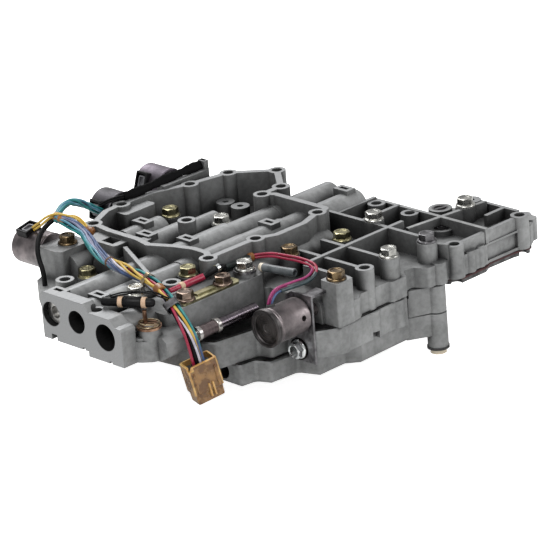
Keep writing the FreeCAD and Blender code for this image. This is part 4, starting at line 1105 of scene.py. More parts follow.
@dataclass
class HarnessPlug:
    """The amber plug at the loom's end: an open box with a notched rim, ribs and a latch.

    Sizes in millimetres.
    """

    top: Triple = (40.2, -24.2, 33.8)
    width: float = 21.0
    depth: float = 13.5
    height: float = 27.5
    wall: float = 1.5
    well: float = 9.0
    turn_deg: float = -18.0
    lean_deg: float = -12.0
    squareness: float = 16.0
    notch_deg: float = 225.0
    notch_width_deg: float = 26.0
    notch_depth: float = 2.6
    around: int = 120

    def axes(self) -> np.ndarray:
        """Finds the plug's directions: leaned about Y, then turned about Z.

        Returns:
            Its width, depth and upward directions as rows.
        """
        lean, turn = math.radians(self.lean_deg), math.radians(self.turn_deg)
        leaned = np.array([[math.cos(lean), 0.0, -math.sin(lean)], [0.0, 1.0, 0.0],
                           [math.sin(lean), 0.0, math.cos(lean)]])
        turned_z = np.array([[math.cos(turn), math.sin(turn), 0.0], [-math.sin(turn), math.cos(turn), 0.0],
                             [0.0, 0.0, 1.0]])
        return leaned @ turned_z

    def shell(self) -> Piece:
        """The box with its well, its rim cut lower at the left front corner, and a painted highlight on its
        corners and rim.

        Rows of a superellipse run from the foot up the outside, over the rim and down the well. The rim's
        height drops by a bell curve of the angle round the box.

        Returns:
            The shell, amber in its first slot and the paler amber of the painted highlight in its second.
        """
        a, b, edge, wall = self.width / 2, self.depth / 2, 0.5, self.wall
        foot, shoulder, well = -self.height, -self.height + 7.5, -self.well
        rows = [(foot, 0.0, 0.0), (foot, a - 1.5, b - 1.5), (foot + edge, a - 1.0, b - 1.0),
                (shoulder - 0.6, a - 0.8, b - 0.8), (shoulder, a, b), (-6.0, a, b), (-3.0, a, b),
                (-edge, a, b), (0.0, a - edge, b - edge), (0.0, a - wall, b - wall),
                (well + 1, a - wall, b - wall), (well, a - wall - 0.5, b - wall - 0.5), (well, 0.0, 0.0)]
        height, wide, deep = np.array(rows, dtype=float).T
        angle = turns_of(self.around) + np.pi / self.around
        across, down = superellipse(angle, self.squareness)
        off = np.degrees((angle - math.radians(self.notch_deg) + np.pi) % (2 * np.pi) - np.pi)
        notch = self.notch_depth * np.exp(-(off / self.notch_width_deg) ** 4)
        lift = height[:, None] - np.where((height > -2.9)[:, None], notch[None], 0.0)
        local = np.stack([wide[:, None] * across[None], deep[:, None] * down[None], lift], axis=2)
        shell = surface("plug_shell", layout(self.top) + local * MM @ self.axes())
        dress(shell, AMBER_NYLON, PALE_NYLON)
        middles = np.zeros(len(shell.data.polygons) * 3)
        shell.data.polygons.foreach_get("center", middles)
        x, y, z = ((middles.reshape(-1, 3) - layout(self.top)) @ self.axes().T / MM).T
        # Painted highlight: the corners and the top of the rim take the paler amber, deeper down at the front
        # left corner
        highlit_edges = (np.abs(x) > a - 1.1) & (np.abs(y) > b - 1.1)
        highlit_edges |= z > -0.45 - np.interp(x + y, (-16.0, -9.0), (2.6, 0.0))
        shell.data.polygons.foreach_set("material_index", highlit_edges.astype(np.int32))
        return shell

    def build(self) -> Piece:
        """Makes the plug: shell, two ribs, the split latch, two side keys and black blocks in its well as
        painted shade.

        Returns:
            The plug as one piece.
        """
        front, right, foot = -self.depth / 2, self.width / 2, -self.height
        blocks = [((x - 0.8, front - 1.0, foot + 8), (x + 0.8, front + 0.4, -5), AMBER_NYLON)
                  for x in (-7.5, 7.5)]
        blocks += [((x - 0.55, front - 1.3, foot + 3.0), (x + 0.55, front + 0.9, foot + 12.5), PALE_NYLON)
                   for x in (0.2, 3.0)]
        blocks += [((right - 0.4, y - 0.7, foot + 8.5), (right + 0.9, y + 0.7, -4), AMBER_NYLON)
                   for y in (-3.4, 3.2)]
        # Painted shade: black blocks fill the well up to 3 mm under the rim, standing in for its dark inside
        blocks += [((x - 1.7, -4.4, -self.well - 0.4), (x + 1.7, 4.4, -3.0), BLACK_RUBBER)
                   for x in (-6.2, -2.1, 2.1, 6.2)]
        parts = [self.shell()]
        for number, (low, high, finish) in enumerate(blocks):
            part = block(f"plug_block_{number}", low, high, layout(self.top), self.axes())
            parts.append(dress(part, finish))
        return on_housing(joined("harness_plug", parts), "harness_connector")


@dataclass
class LoomTies:
    """What holds the loom together: varnished tape, a brown thread, a tan clip and a steel clamp.

    Places are points of the layout; each tie sits on the loom's line at the nearest point. Profiles are
    (along, radius) in millimetres.
    """

    bind: Triple = (71.9, 135.6, 85.5)
    knot: Triple = (77.0, 112.2, 80.0)
    thread: Triple = (53.8, 67.7, 75.4)
    clip: Triple = (47.9, 25.2, 74.6)
    tape: Triple = (44.1, 9.1, 72.4)
    clamp: Triple = (39.8, -6.3, 67.7)
    squareness: float = 5.0

    def shares(self, loom: Cord) -> tuple[float, ...]:
        """Finds where along the loom the ties sit.

        Args:
            loom: the main loom.

        Returns:
            The shares of its length, with both ends.
        """
        ties = (self.bind, self.knot, self.thread, self.clip, self.tape, self.clamp)
        return (0.0, *[loom.place_at(point)[2] for point in ties], 1.0)

    def wrap(self, name: str, loom: Cord, point: Triple, profile: Profile, finish: Finish) -> Piece:
        """A closed ring of the given profile round the loom.

        Args:
            name: the piece's name.
            loom: the main loom.
            point: where it sits.
            profile: its section.
            finish: its finish.

        Returns:
            The ring.
        """
        centre, tangent, _ = loom.place_at(point)
        return on_housing(dress(turned(name, profile, centre, tangent, 48, ring=True), finish))

    def strap(self, name: str, loom: Cord, point: Triple, half_wide: float, half_high: float, long: float,
              thick: float, finish: Finish) -> Piece:
        """A flat metal strap bent into a rounded rectangle round the loom.

        Point (i, j) lies at along[i] on the loom's line and at the half sizes times the superellipse of
        angle j, the outer surface set out by the strap's thickness.

        Args:
            name: the piece's name.
            loom: the main loom.
            point: where it sits.
            half_wide: half its inner width, in millimetres as all its sizes.
            half_high: half its inner height.
            long: its length along the loom.
            thick: its thickness.
            finish: its finish.

        Returns:
            The strap.
        """
        centre, tangent, _ = loom.place_at(point)
        first, third = unit(np.cross(tangent, loom.viewed_from)), unit(tangent)
        across, down = superellipse(turns_of(64), self.squareness)
        section = np.array([(-long / 2, 0.0), (-long / 2, thick), (long / 2, thick), (long / 2, 0.0)]) * MM
        along, out = section[:, 0, None, None], section[:, 1, None, None]
        points = (centre + along * third + (half_wide * MM + out) * across[None, :, None] * first
                  + (half_high * MM + out) * down[None, :, None] * np.cross(third, first))
        return on_housing(dress(surface(name, points, wrap_rows=True), finish))

    def build(self, loom: Cord) -> tuple[Piece, ...]:
        """Makes every tie on the loom.

        Args:
            loom: the main loom.

        Returns:
            The ties in order from the back.
        """
        bind = [(-5.0, 2.0), (-5.0, 3.0), (-3.0, 3.5), (-1.0, 3.1), (1.5, 3.6), (4.0, 3.2), (5.0, 2.8),
                (5.0, 2.0)]
        knot = [(-3.4, 0.0), (-3.2, 1.8), (-1.7, 2.9), (0.3, 2.6), (1.9, 3.1), (3.3, 2.0), (3.6, 0.0)]
        thread = [(-1.0, 2.2), (-1.0, 3.3), (-0.3, 3.8), (0.5, 3.5), (1.0, 3.3), (1.0, 2.2)]
        tape = [(-2.9, 2.2), (-2.9, 3.6), (-1.4, 3.9), (0.4, 3.6), (1.9, 3.8), (2.9, 3.5), (2.9, 2.2)]
        return (self.wrap("loom_bind", loom, self.bind, bind, AMBER_TAPE),
                on_housing(dress(turned("loom_knot", knot, layout(self.knot), (0.35, -0.9, -0.2), 40),
                                 AMBER_TAPE)),
                self.wrap("loom_thread", loom, self.thread, thread, BROWN_THREAD),
                self.strap("loom_clip", loom, self.clip, 3.9, 2.7, 3.4, 0.6, TAN_STEEL),
                self.wrap("loom_tape", loom, self.tape, tape, AMBER_TAPE),
                self.strap("loom_clamp", loom, self.clamp, 4.3, 3.2, 5.0, 0.7, Plating.DULL.value))


@dataclass
class Harness:
    """The wiring harness: the main loom to its plug and the leads to the solenoids."""

    loom: Cord = field(default_factory=lambda: Cord(
        "main_loom",
        [(71.5, 138.0, 86.0), (73.5, 126.0, 83.5), (74.0, 114.0, 79.5), (67.0, 100.0, 77.0),
         (58.0, 82.0, 75.8), (51.5, 60.0, 75.2), (50.2, 39.0, 75.2), (46.5, 17.0, 74.2),
         (39.5, -3.5, 69.5), (37.0, -17.5, 58.7), (38.0, -23.6, 46.5), (40.2, -24.2, 33.8)],
        3.4,
        [Wire(Insulation.TEAL, 2.5, 318, 0.95, (3.4, 1.6)),
         Wire(Insulation.TEAL, 2.5, 352, 0.9, (4.1, 0.4)),
         Wire(Insulation.SKY, 2.5, 285, 0.85, (2.4, 1.2)),
         Wire(Insulation.YELLOW, 2.4, 96, 0.9, (2.4, -1.2)),
         Wire(Insulation.YELLOW, 2.4, 128, 0.85, (3.4, -0.8)),
         Wire(Insulation.BLUE, 2.4, 188, 0.9, (1.4, -1.6)),
         Wire(Insulation.BLUE, 2.4, 222, 0.9, (3.3, -2.1)),
         Wire(Insulation.LAVENDER, 2.4, 252, 0.9, (0.4, 2.4)),
         Wire(Insulation.WHITE, 2.3, 158, 0.8, (0.6, -2.6)),
         Wire(Insulation.LAVENDER, 1.2, 230, 0.9, (-1.3, 2.0)),
         Wire(Insulation.BLACK, 0.5, 0, 1.5, (-1.0, -1.2)),
         Wire(Insulation.BLACK, 0.9, 180, 1.4, (-2.4, 0.2)),
         Wire(Insulation.RED, 1.0, 60, 0.95, (-3.9, -1.7), (0.5, 1.0))],
        far_end="connector", twist_turns=0.5, twist_between=(0.3, 0.62), loosening=0.3, fan_from=0.66,
        fan_axes=HarnessPlug().axes(), tuck_mm=3.4))
    yellow: Cord = field(default_factory=lambda: Cord(
        "yellow_lead", [(63.4, 153.4, 77.0), (62.8, 146.0, 81.5), (66.0, 139.5, 88.0), (75.0, 131.0, 88.5),
                        (79.5, 121.0, 84.5), (76.0, 112.0, 80.0)],
        1.7, [Wire(Insulation.YELLOW, 0.95, 0, 0.85), Wire(Insulation.YELLOW, 0.95, 180, 0.85)],
        twist_turns=0.4))
    teal: Cord = field(default_factory=lambda: Cord(
        "teal_leads", [(125.2, 154.9, 69.4), (114.0, 150.0, 75.5), (104.0, 147.5, 83.5), (92.0, 146.0, 89.0),
                       (80.0, 142.5, 89.5), (71.5, 138.0, 86.0)],
        1.7, [Wire(Insulation.TEAL, 1.3, 80, 1.0), Wire(Insulation.TEAL, 1.35, 170, 1.0),
              Wire(Insulation.SKY, 1.3, 260, 0.9), Wire(Insulation.TEAL, 1.4, 345, 0.95),
              Wire(Insulation.LAVENDER, 0.4, 20, 0.9), Wire(Insulation.SKY, 1.4, 125, 0.85)],
        twist_turns=0.5, loosening=0.45))
    black: Cord = field(default_factory=lambda: Cord(
        "black_lead", [(71.5, 138.0, 86.0), (65.0, 142.0, 81.0), (57.0, 140.0, 77.0), (50.5, 135.5, 72.5),
                       (45.5, 129.5, 67.0), (43.0, 122.5, 59.5), (43.0, 122.5, 50.0)],
        1.7, [Wire(Insulation.BLACK, 0.0, 0, 1.7)]))
    red: Cord = field(default_factory=lambda: Cord(
        "red_leads", [(130.0, 14.4, 65.8), (137.5, 6.5, 67.2), (138.5, -8.0, 68.0), (141.0, -23.0, 68.0),
                      (139.0, -37.0, 67.0), (125.5, -43.0, 64.6), (110.5, -40.0, 64.4), (94.5, -40.0, 65.2),
                      (91.6, -40.5, 57.6)],
        1.7, [Wire(Insulation.RED, 0.9, 180, 0.9, stretch=(0.0, 0.66)),
              Wire(Insulation.RED, 0.9, 0, 0.9, stretch=(0.0, 0.62)),
              Wire(Insulation.PINK, 1.5, 345, 0.8, stretch=(0.45, 1.0)),
              Wire(Insulation.PINK, 0.8, 80, 0.7, stretch=(0.8, 1.0)),
              Wire(Insulation.TUBE, 1.1, 195, 1.3, stretch=(0.57, 0.88)),
              Wire(Insulation.BLUE, 1.0, 195, 0.8, stretch=(0.85, 1.0))]))
    strap: Cord = field(default_factory=lambda: Cord(
        "taped_branch", [(124.2, 154.9, 74.0), (128.2, 149.9, 77.6), (137.4, 145.6, 78.2),
                         (148.5, 144.8, 77.6), (162.0, 144.4, 78.4), (177.0, 143.6, 79.4),
                         (193.0, 143.3, 80.0), (209.0, 143.3, 80.0)],
        1.9, [Wire(Insulation.TAPE, 0.0, 0, 1.35, wide=2.1, wrap_mm=7.0, stretch=(0.2, 1.0)),
              Wire(Insulation.BLACK, 0.6, 0, 0.7, stretch=(0.0, 0.25)),
              Wire(Insulation.BLACK, 0.6, 180, 0.7, stretch=(0.0, 0.25))],
        around=28))
    strands: Cord = field(default_factory=lambda: Cord(
        "sensor_leads", [(15.6, 25.2, 73.7), (19.5, 19.5, 75.8), (24.5, 12.5, 76.8), (29.5, 6.0, 76.8),
                         (33.5, -0.5, 75.0), (37.8, -5.0, 71.2)],
        1.0, [Wire(Insulation.BLACK, 0.55, 0, 0.55), Wire(Insulation.BLACK, 0.55, 180, 0.5)],
        twist_turns=0.5, loosening=0.6))

    def build(self) -> None:
        """Makes the plug, the ties, the loom and every lead."""
        plug = HarnessPlug().build()
        ties = LoomTies()
        held = ties.build(self.loom)
        self.loom.ties = ties.shares(self.loom)
        self.loom.build((plug, *held))
        for cord in (self.yellow, self.teal, self.black, self.red, self.strap, self.strands):
            cord.build()


# Castings and other plain nodes


@dataclass
class PlainNodes:
    """The nodes that keep their own shape, each in its real finish, and yellow zinc where none is given."""

    other: Finish = Plating.YELLOW.value

    def build(self) -> None:
        """Dresses every CAD node by its family or its name."""
        for name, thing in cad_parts.items():
            families = [finish for start, finish in FAMILY_FINISHES.items() if name.startswith(start)]
            dress(thing, families[0] if families else NODE_FINISHES.get(name, self.other))
        LOG.info("dressed %d nodes", len(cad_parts))


# Solenoids, sensor, manual valve and sleeves


def bored(piece: Piece, cutter: Piece) -> Piece:
    """Cuts one closed mesh out of another and keeps the result as the piece's own mesh.

    Args:
        piece: the mesh object that is cut.
        cutter: the mesh object that cuts it, which is used up.

    Returns:
        The cut piece.
    """
    modifier = piece.modifiers.new("hole", "BOOLEAN")
    modifier.operation = "DIFFERENCE"
    modifier.solver = "EXACT"
    modifier.object = cutter
    bpy.context.view_layer.update()
    cut = bpy.data.meshes.new_from_object(piece.evaluated_get(bpy.context.evaluated_depsgraph_get()))
    piece.modifiers.clear()
    piece.data = cut
    bpy.data.objects.remove(cutter)
    soften(cut)
    return piece


class Turning(Enum):
    """How the sections of the manual valve are finished."""

    GROUND = GROUND_STEEL
    BARREL = BARREL_STEEL
    ROD = ROD_STEEL


@dataclass
class ManualValve:
    """The hand-selected spool, turned in one piece and finished differently along its length.

    Sizes in millimetres. A section is its finish, where it begins and ends along X, and its radius.
    """

    start: Triple = (24.5, -10.5, 43.4)
    sections: tuple[tuple[Turning, float, float, float], ...] = (
        (Turning.GROUND, 0.0, 7.0, 4.6), (Turning.GROUND, 7.0, 12.5, 3.0), (Turning.GROUND, 12.5, 19.5, 4.6),
        (Turning.GROUND, 19.5, 28.0, 3.0), (Turning.GROUND, 28.0, 31.2, 5.1),
        (Turning.BARREL, 31.2, 44.9, 4.3), (Turning.GROUND, 44.9, 48.1, 5.1), (Turning.ROD, 48.1, 82.1, 3.9))
    edge: float = 0.35
    groove: float = 0.13
    groove_pitch: float = 1.15

    def profile(self, kind: Turning, low: float, high: float, radius: float) -> Profile:
        """One section: bevelled ends, and on the barrel shallow grooves, radius - groove * (0.5 - 0.5 cos).

        Args:
            kind: the section's finish.
            low: where it begins.
            high: where it ends.
            radius: its radius.

        Returns:
            (along, radius) pairs from axis to axis.
        """
        if kind is not Turning.BARREL:
            return [(low, 0.0), (low, radius - self.edge), (low + self.edge, radius),
                    (high - self.edge, radius), (high, radius - self.edge), (high, 0.0)]
        along = np.linspace(low, high, 97)
        wave = radius - self.groove * (0.5 - 0.5 * np.cos(2 * np.pi * (along - low) / self.groove_pitch))
        return [(low, 0.0), *zip(along.tolist(), wave.tolist()), (high, 0.0)]

    def build(self) -> None:
        """Turns every section and puts the valve on its sliding body."""
        parts = []
        for number, (kind, *section) in enumerate(self.sections):
            profile = self.profile(kind, *section)
            part = turned(f"manual_valve_{number}", profile, layout(self.start), RIGHT, 72)
            parts.append(dress(part, kind.value))
        on_housing(joined("manual_valve_turned", parts), "manual_valve", body="manual_valve_body")


@dataclass
class BoreSprings:
    """The springs between plug and spool in the open bores. Each shortens as its spool slides against it.

    A row is name, first and last x, axis y and z, and coil radius, in millimetres of the layout.
    """

    springs: tuple[tuple[str, float, float, float, float, float], ...] = (
        ("a", 13.1, 37.6, 66.4, 57.4, 4.73), ("b", 26.1, 47.6, 42.2, 57.4, 4.45),
        ("c", 36.1, 63.6, 15.6, 53.1, 4.32))
    wire: float = 0.7
    turns: float = 5.5
    travel: float = 6.0

    def coil(self, name: str, x0: float, x1: float, y: float, z: float, radius: float) -> Piece:
        """A compression spring along X, its first and last turn wound close.

        The wire's middle at turn n is (x(n), radius cos 2 pi n, radius sin 2 pi n), where x rises by about
        one wire in each end turn and evenly between them.

        Args:
            name: the piece's name.
            x0: where the spring begins.
            x1: where it ends.
            y: its axis across.
            z: its axis in height.
            radius: from its axis to the wire's middle.

        Returns:
            The spring.
        """
        turn = np.linspace(0.0, self.turns, int(self.turns * 40) + 1)
        first, last, close = x0 + self.wire, x1 - self.wire, 2.1 * self.wire
        along = np.interp(turn, (0.0, 1.0, self.turns - 1.0, self.turns),
                          (first, first + close, last - close, last))
        outward = np.stack([np.zeros(len(turn)), np.cos(2 * np.pi * turn), np.sin(2 * np.pi * turn)], axis=1)
        centre = np.array([0.0, y, z]) + outward * radius
        centre[:, 0] = along
        return tube(name, layout(centre), outward, RIGHT, self.wire * MM, 12)

    def build(self) -> None:
        """Winds each spring and puts it on the housing in place of its plain node, with a mesh of its own."""
        for name, x0, x1, y, z, radius in self.springs:
            coil = self.coil(f"bore_spring_{name}", x0, x1, y, z, radius)
            spring = on_housing(dress(coil, SPRING_STEEL), f"spool_spring_{name}")
            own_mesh(spring)


@dataclass
class PressureSolenoid:
    """The front can with rolled beads, a vent hole, a ringed cap and the grommet where its wires enter.

    Sizes in millimetres.
    """

    centre: Triple = (84.5, -45.0, 45.5)
    length: float = 27.5
    radius: float = 12.0
    cap_radius: float = 13.0
    cap_width: float = 3.4
    vent: Triple = (105.0, -56.8, 47.6)
    vent_radius: float = 1.9
    wires: Triple = (91.6, -40.5, 57.6)

    def outward(self, point: Triple) -> np.ndarray:
        """The way from the can's axis to a point, square to the axis, at length one."""
        return unit((0.0, point[1] - self.centre[1], point[2] - self.centre[2]))

    def can(self) -> Piece:
        """The drawn can with two beads behind the cap, its stepped nose and its vent hole.

        Returns:
            The can.
        """
        r, last = self.radius, self.length
        profile = [(0.0, 0.0), (0.0, r), (0.6, r + 0.55), (1.3, r + 0.55), (1.9, r), (2.3, r),
                   (2.8, r + 0.35), (3.3, r), (last - 1.2, r), (last, r - 0.9), (last, 7.0),
                   (last + 4.0, 7.0), (last + 4.0, 5.0), (last + 27.0, 5.0), (last + 27.6, 4.4),
                   (last + 27.6, 0.0)]
        can = turned("pressure_can", profile, layout(self.centre), RIGHT, 96)
        outward = self.outward(self.vent)
        start = layout((self.vent[0], *self.centre[1:])) + outward * (r - 4.0) * MM
        hole = [(0.0, 0.0), (0.0, self.vent_radius), (8.0, self.vent_radius), (8.0, 0.0)]
        return dress(bored(can, turned("vent", hole, start, outward, 32)), Plating.CAN.value)

    def cap(self) -> Piece:
        """The pressed cap: a rolled rim round a flat disc with fine rings and a shallow middle.

        Returns:
            The cap.
        """
        r, wide = self.cap_radius, self.cap_width
        rim = [(0.0, 0.0), (0.0, r - 0.5), (0.4, r), (wide - 0.9, r), (wide - 0.25, r - 0.35),
               (wide, r - 1.0), (wide, r - 2.0), (wide - 1.25, r - 2.35), (wide - 1.4, r - 2.6)]
        rings = [(wide - 1.75 + 0.05 * math.cos(4.2 * radius), radius)
                 for radius in np.linspace(10.2, 3.0, 80)]
        middle = [(wide - 2.0, 2.7), (wide - 2.1, 1.6), (wide - 1.9, 0.0)]
        return dress(turned("pressure_cap", rim + rings + middle, layout(self.centre), LEFT, 96), CAP_STEEL)

    def build(self) -> None:
        """Makes can, cap and grommet."""
        on_housing(self.can(), "pressure_solenoid")
        on_housing(self.cap(), "pressure_solenoid_cap")
        outward = self.outward(self.wires)
        root = layout((self.wires[0], *self.centre[1:])) + outward * (self.radius - 1.0) * MM
        rubber = [(0.0, 0.0), (0.0, 3.1), (1.8, 3.0), (2.3, 2.6), (2.3, 0.0)]
        on_housing(dress(turned("wire_grommet", rubber, root, outward, 40), BLACK_RUBBER))


@dataclass
class ShiftSolenoids:
    """The three cans at the back with their sockets, each socket an open box on the can.

    Sizes in millimetres. A row is the node, the axis x and z, y of the seat and of the end, the socket's turn
    round the can in degrees, and the can's steel.
    """

    cans: tuple[tuple[str, float, float, float, float, float, Plating], ...] = (
        ("shift_solenoid_1", 66.5, 62.5, 139.0, 168.0, -12.0, Plating.CAN),
        ("shift_solenoid_2", 139.0, 67.0, 149.5, 169.5, -80.0, Plating.GREY_CAN),
        ("shift_solenoid_3", 183.0, 71.0, 147.0, 171.0, -70.0, Plating.LILAC_CAN))
    radius: float = 12.6
    shoulder: float = 1.9
    socket_width: float = 14.0
    socket_depth: float = 11.0
    socket_height: float = 15.5
    setback: float = 3.5
    wall: float = 1.5
    lug: tuple[Triple, Triple] = ((209.0, 140.0, 76.0), (213.0, 146.5, 83.0))

    def can(self, name: str, length: float, origin: np.ndarray) -> Piece:
        """A drawn can with a rolled foot, a soft shoulder and a ring pressed into its end.

        Args:
            name: the piece's name.
            length: from its seat to its end.
            origin: the middle of its seat, in metres.

        Returns:
            The can, without a finish.
        """
        r, bend = self.radius, self.shoulder
        shoulder = [(length - bend + bend * math.sin(a), r - bend + bend * math.cos(a))
                    for a in np.linspace(0, np.pi / 2, 9)]
        profile = [(-3.0, 0.0), (-3.0, 5.6), (-2.6, 6.0), (0.0, 6.0), (0.0, r - 0.4), (0.4, r),
                   (1.2, r + 0.25), (2.0, r), *shoulder, (length, r - 3.2), (length - 0.5, r - 3.7),
                   (length - 0.5, 3.0), (length - 0.9, 2.6), (length - 0.9, 0.0)]
        return turned(name, profile, origin, (0.0, 1.0, 0.0), 96)

    def socket(self, x: float, z: float, end_y: float, turn_deg: float) -> list[Piece]:
        """An open box standing out from the can on a foot, with a ring in its well.

        Args:
            x: the can's axis.
            z: the can's axis in height.
            end_y: the can's end.
            turn_deg: turn round the can, 0 for upward.

        Returns:
            Box, foot and ring.
        """
        turn = math.radians(turn_deg)
        out = np.array([math.sin(turn), 0.0, math.cos(turn)])
        axes = np.stack([np.cross([0.0, 1.0, 0.0], out), [0.0, 1.0, 0.0], out])
        middle = layout((x, end_y - self.setback - self.socket_depth / 2, z))
        a, b, top, wall = self.socket_width / 2, self.socket_depth / 2, self.socket_height, self.wall
        low = self.radius - 1.6
        box = [(low, 0.0, 0.0), (low, a - 0.2, b - 0.2), (top - 0.4, a, b), (top, a - 0.4, b - 0.4),
               (top, a - wall, b - wall), (low + 1.6, a - wall, b - wall), (low + 1.6, 0.0, 0.0)]
        ring = [(low + 1.0, 0.0, 0.0), (low + 1.0, a - 3.0, b - 2.6), (top - 0.9, a - 3.0, b - 2.6),
                (top - 0.9, a - 3.9, b - 3.5), (low + 2.0, a - 3.9, b - 3.5), (low + 2.0, 0.0, 0.0)]
        foot = block("socket_foot", (-a + 0.3, -b + 0.3, 7.0), (a - 0.3, b - 0.3, low + 0.5), middle, axes)
        return [dress(boxy("socket_box", box, middle, axes, 14.0, 72), BLACK_NYLON), dress(foot, BLACK_NYLON),
                dress(boxy("socket_ring", ring, middle, axes, 6.0, 48), GREY_NYLON)]

    def build(self) -> None:
        """Makes each can, then all the sockets and a lug as one piece."""
        sockets = []
        for node, x, z, seat_y, end_y, turn, plating in self.cans:
            can = self.can(node + "_can", end_y - seat_y, layout((x, seat_y, z)))
            on_housing(dress(can, plating.value), node)
            sockets.extend(self.socket(x, z, end_y, turn))
        lug = block("socket_lug", *self.lug, layout((0.0, 0.0, 0.0)), np.eye(3), 0.8)
        on_housing(joined("solenoid_socket_boxes", [*sockets, dress(lug, BLACK_NYLON)]), "solenoid_sockets")


@dataclass
class TemperatureSensor:
    """The sensor barrel with its thick middle and two cream bands, and the wire loops over its eyelet.

    Sizes in millimetres. The middle and the bands lie at shares of the barrel's length. A loop is its lift,
    tilt and radius.
    """

    start: Triple = (12.6, 30.5, 70.4)
    end: Triple = (30.1, 0.0, 70.4)
    slim: float = 2.9
    thick: float = 3.8
    middle: tuple[float, float] = (0.42, 0.76)
    bands: tuple[float, float] = (0.32, 0.765)
    eyelet: Triple = (22.0, -2.0, 58.6)
    loops: tuple[Triple, Triple] = ((0.7, 0.05, 6.9), (1.9, -0.09, 6.3))
    loop_wire: float = 0.5

    def loop(self, name: str, lift: float, tilt: float, radius: float) -> Piece:
        """A ring of thin wire: a circle that rises by tilt times its x, with a round section.

        Args:
            name: the piece's name.
            lift: height over the eyelet.
            tilt: rise along X.
            radius: the circle's radius.

        Returns:
            The ring.
        """
        around = turns_of(72)
        outward = np.stack([np.cos(around), np.sin(around), tilt * np.cos(around)], axis=1)
        centre = layout(self.eyelet) + (outward * radius + np.array([0.0, 0.0, lift])) * MM
        return tube(name, centre, outward, UP, self.loop_wire * MM, 10, closed=True)

    def build(self) -> None:
        """Turns the barrel and the bands and lays two wire loops on the eyelet."""
        origin, along = layout(self.start), layout(self.end) - layout(self.start)
        length = float(np.linalg.norm(along)) / MM
        a, b = self.middle[0] * length, self.middle[1] * length
        s, t = self.slim, self.thick
        profile = [(0.0, 0.0), (0.0, s - 0.8), (0.5, s - 0.2), (1.2, s), (a - 0.6, s), (a, t - 0.3),
                   (a + 0.5, t), (a + 2.2, t), (a + 2.5, t - 0.25), (a + 2.8, t), (b - 0.5, t),
                   (b, t - 0.3), (b + 0.2, s), (length - 2.4, s), (length - 0.6, s - 0.5),
                   (length, s - 1.2), (length, 0.0)]
        barrel = turned("sensor_barrel", profile, origin, along, 64)
        on_housing(dress(barrel, BLACK_NYLON), "temperature_sensor")
        parts = []
        for number, share in enumerate(self.bands):
            low, r = share * length, s + 0.75
            ring = [(low, s - 0.3), (low, r - 0.15), (low + 0.2, r), (low + 2.8, r), (low + 3.0, r - 0.15),
                    (low + 3.0, s - 0.3)]
            parts.append(dress(turned(f"band_{number}", ring, origin, along, 64, ring=True), CREAM_NYLON))
        on_housing(joined("sensor_cream_bands", parts), "sensor_bands")
        for number, sizes in enumerate(self.loops):
            on_housing(dress(self.loop(f"eyelet_loop_{number}", *sizes), TAN_STEEL))


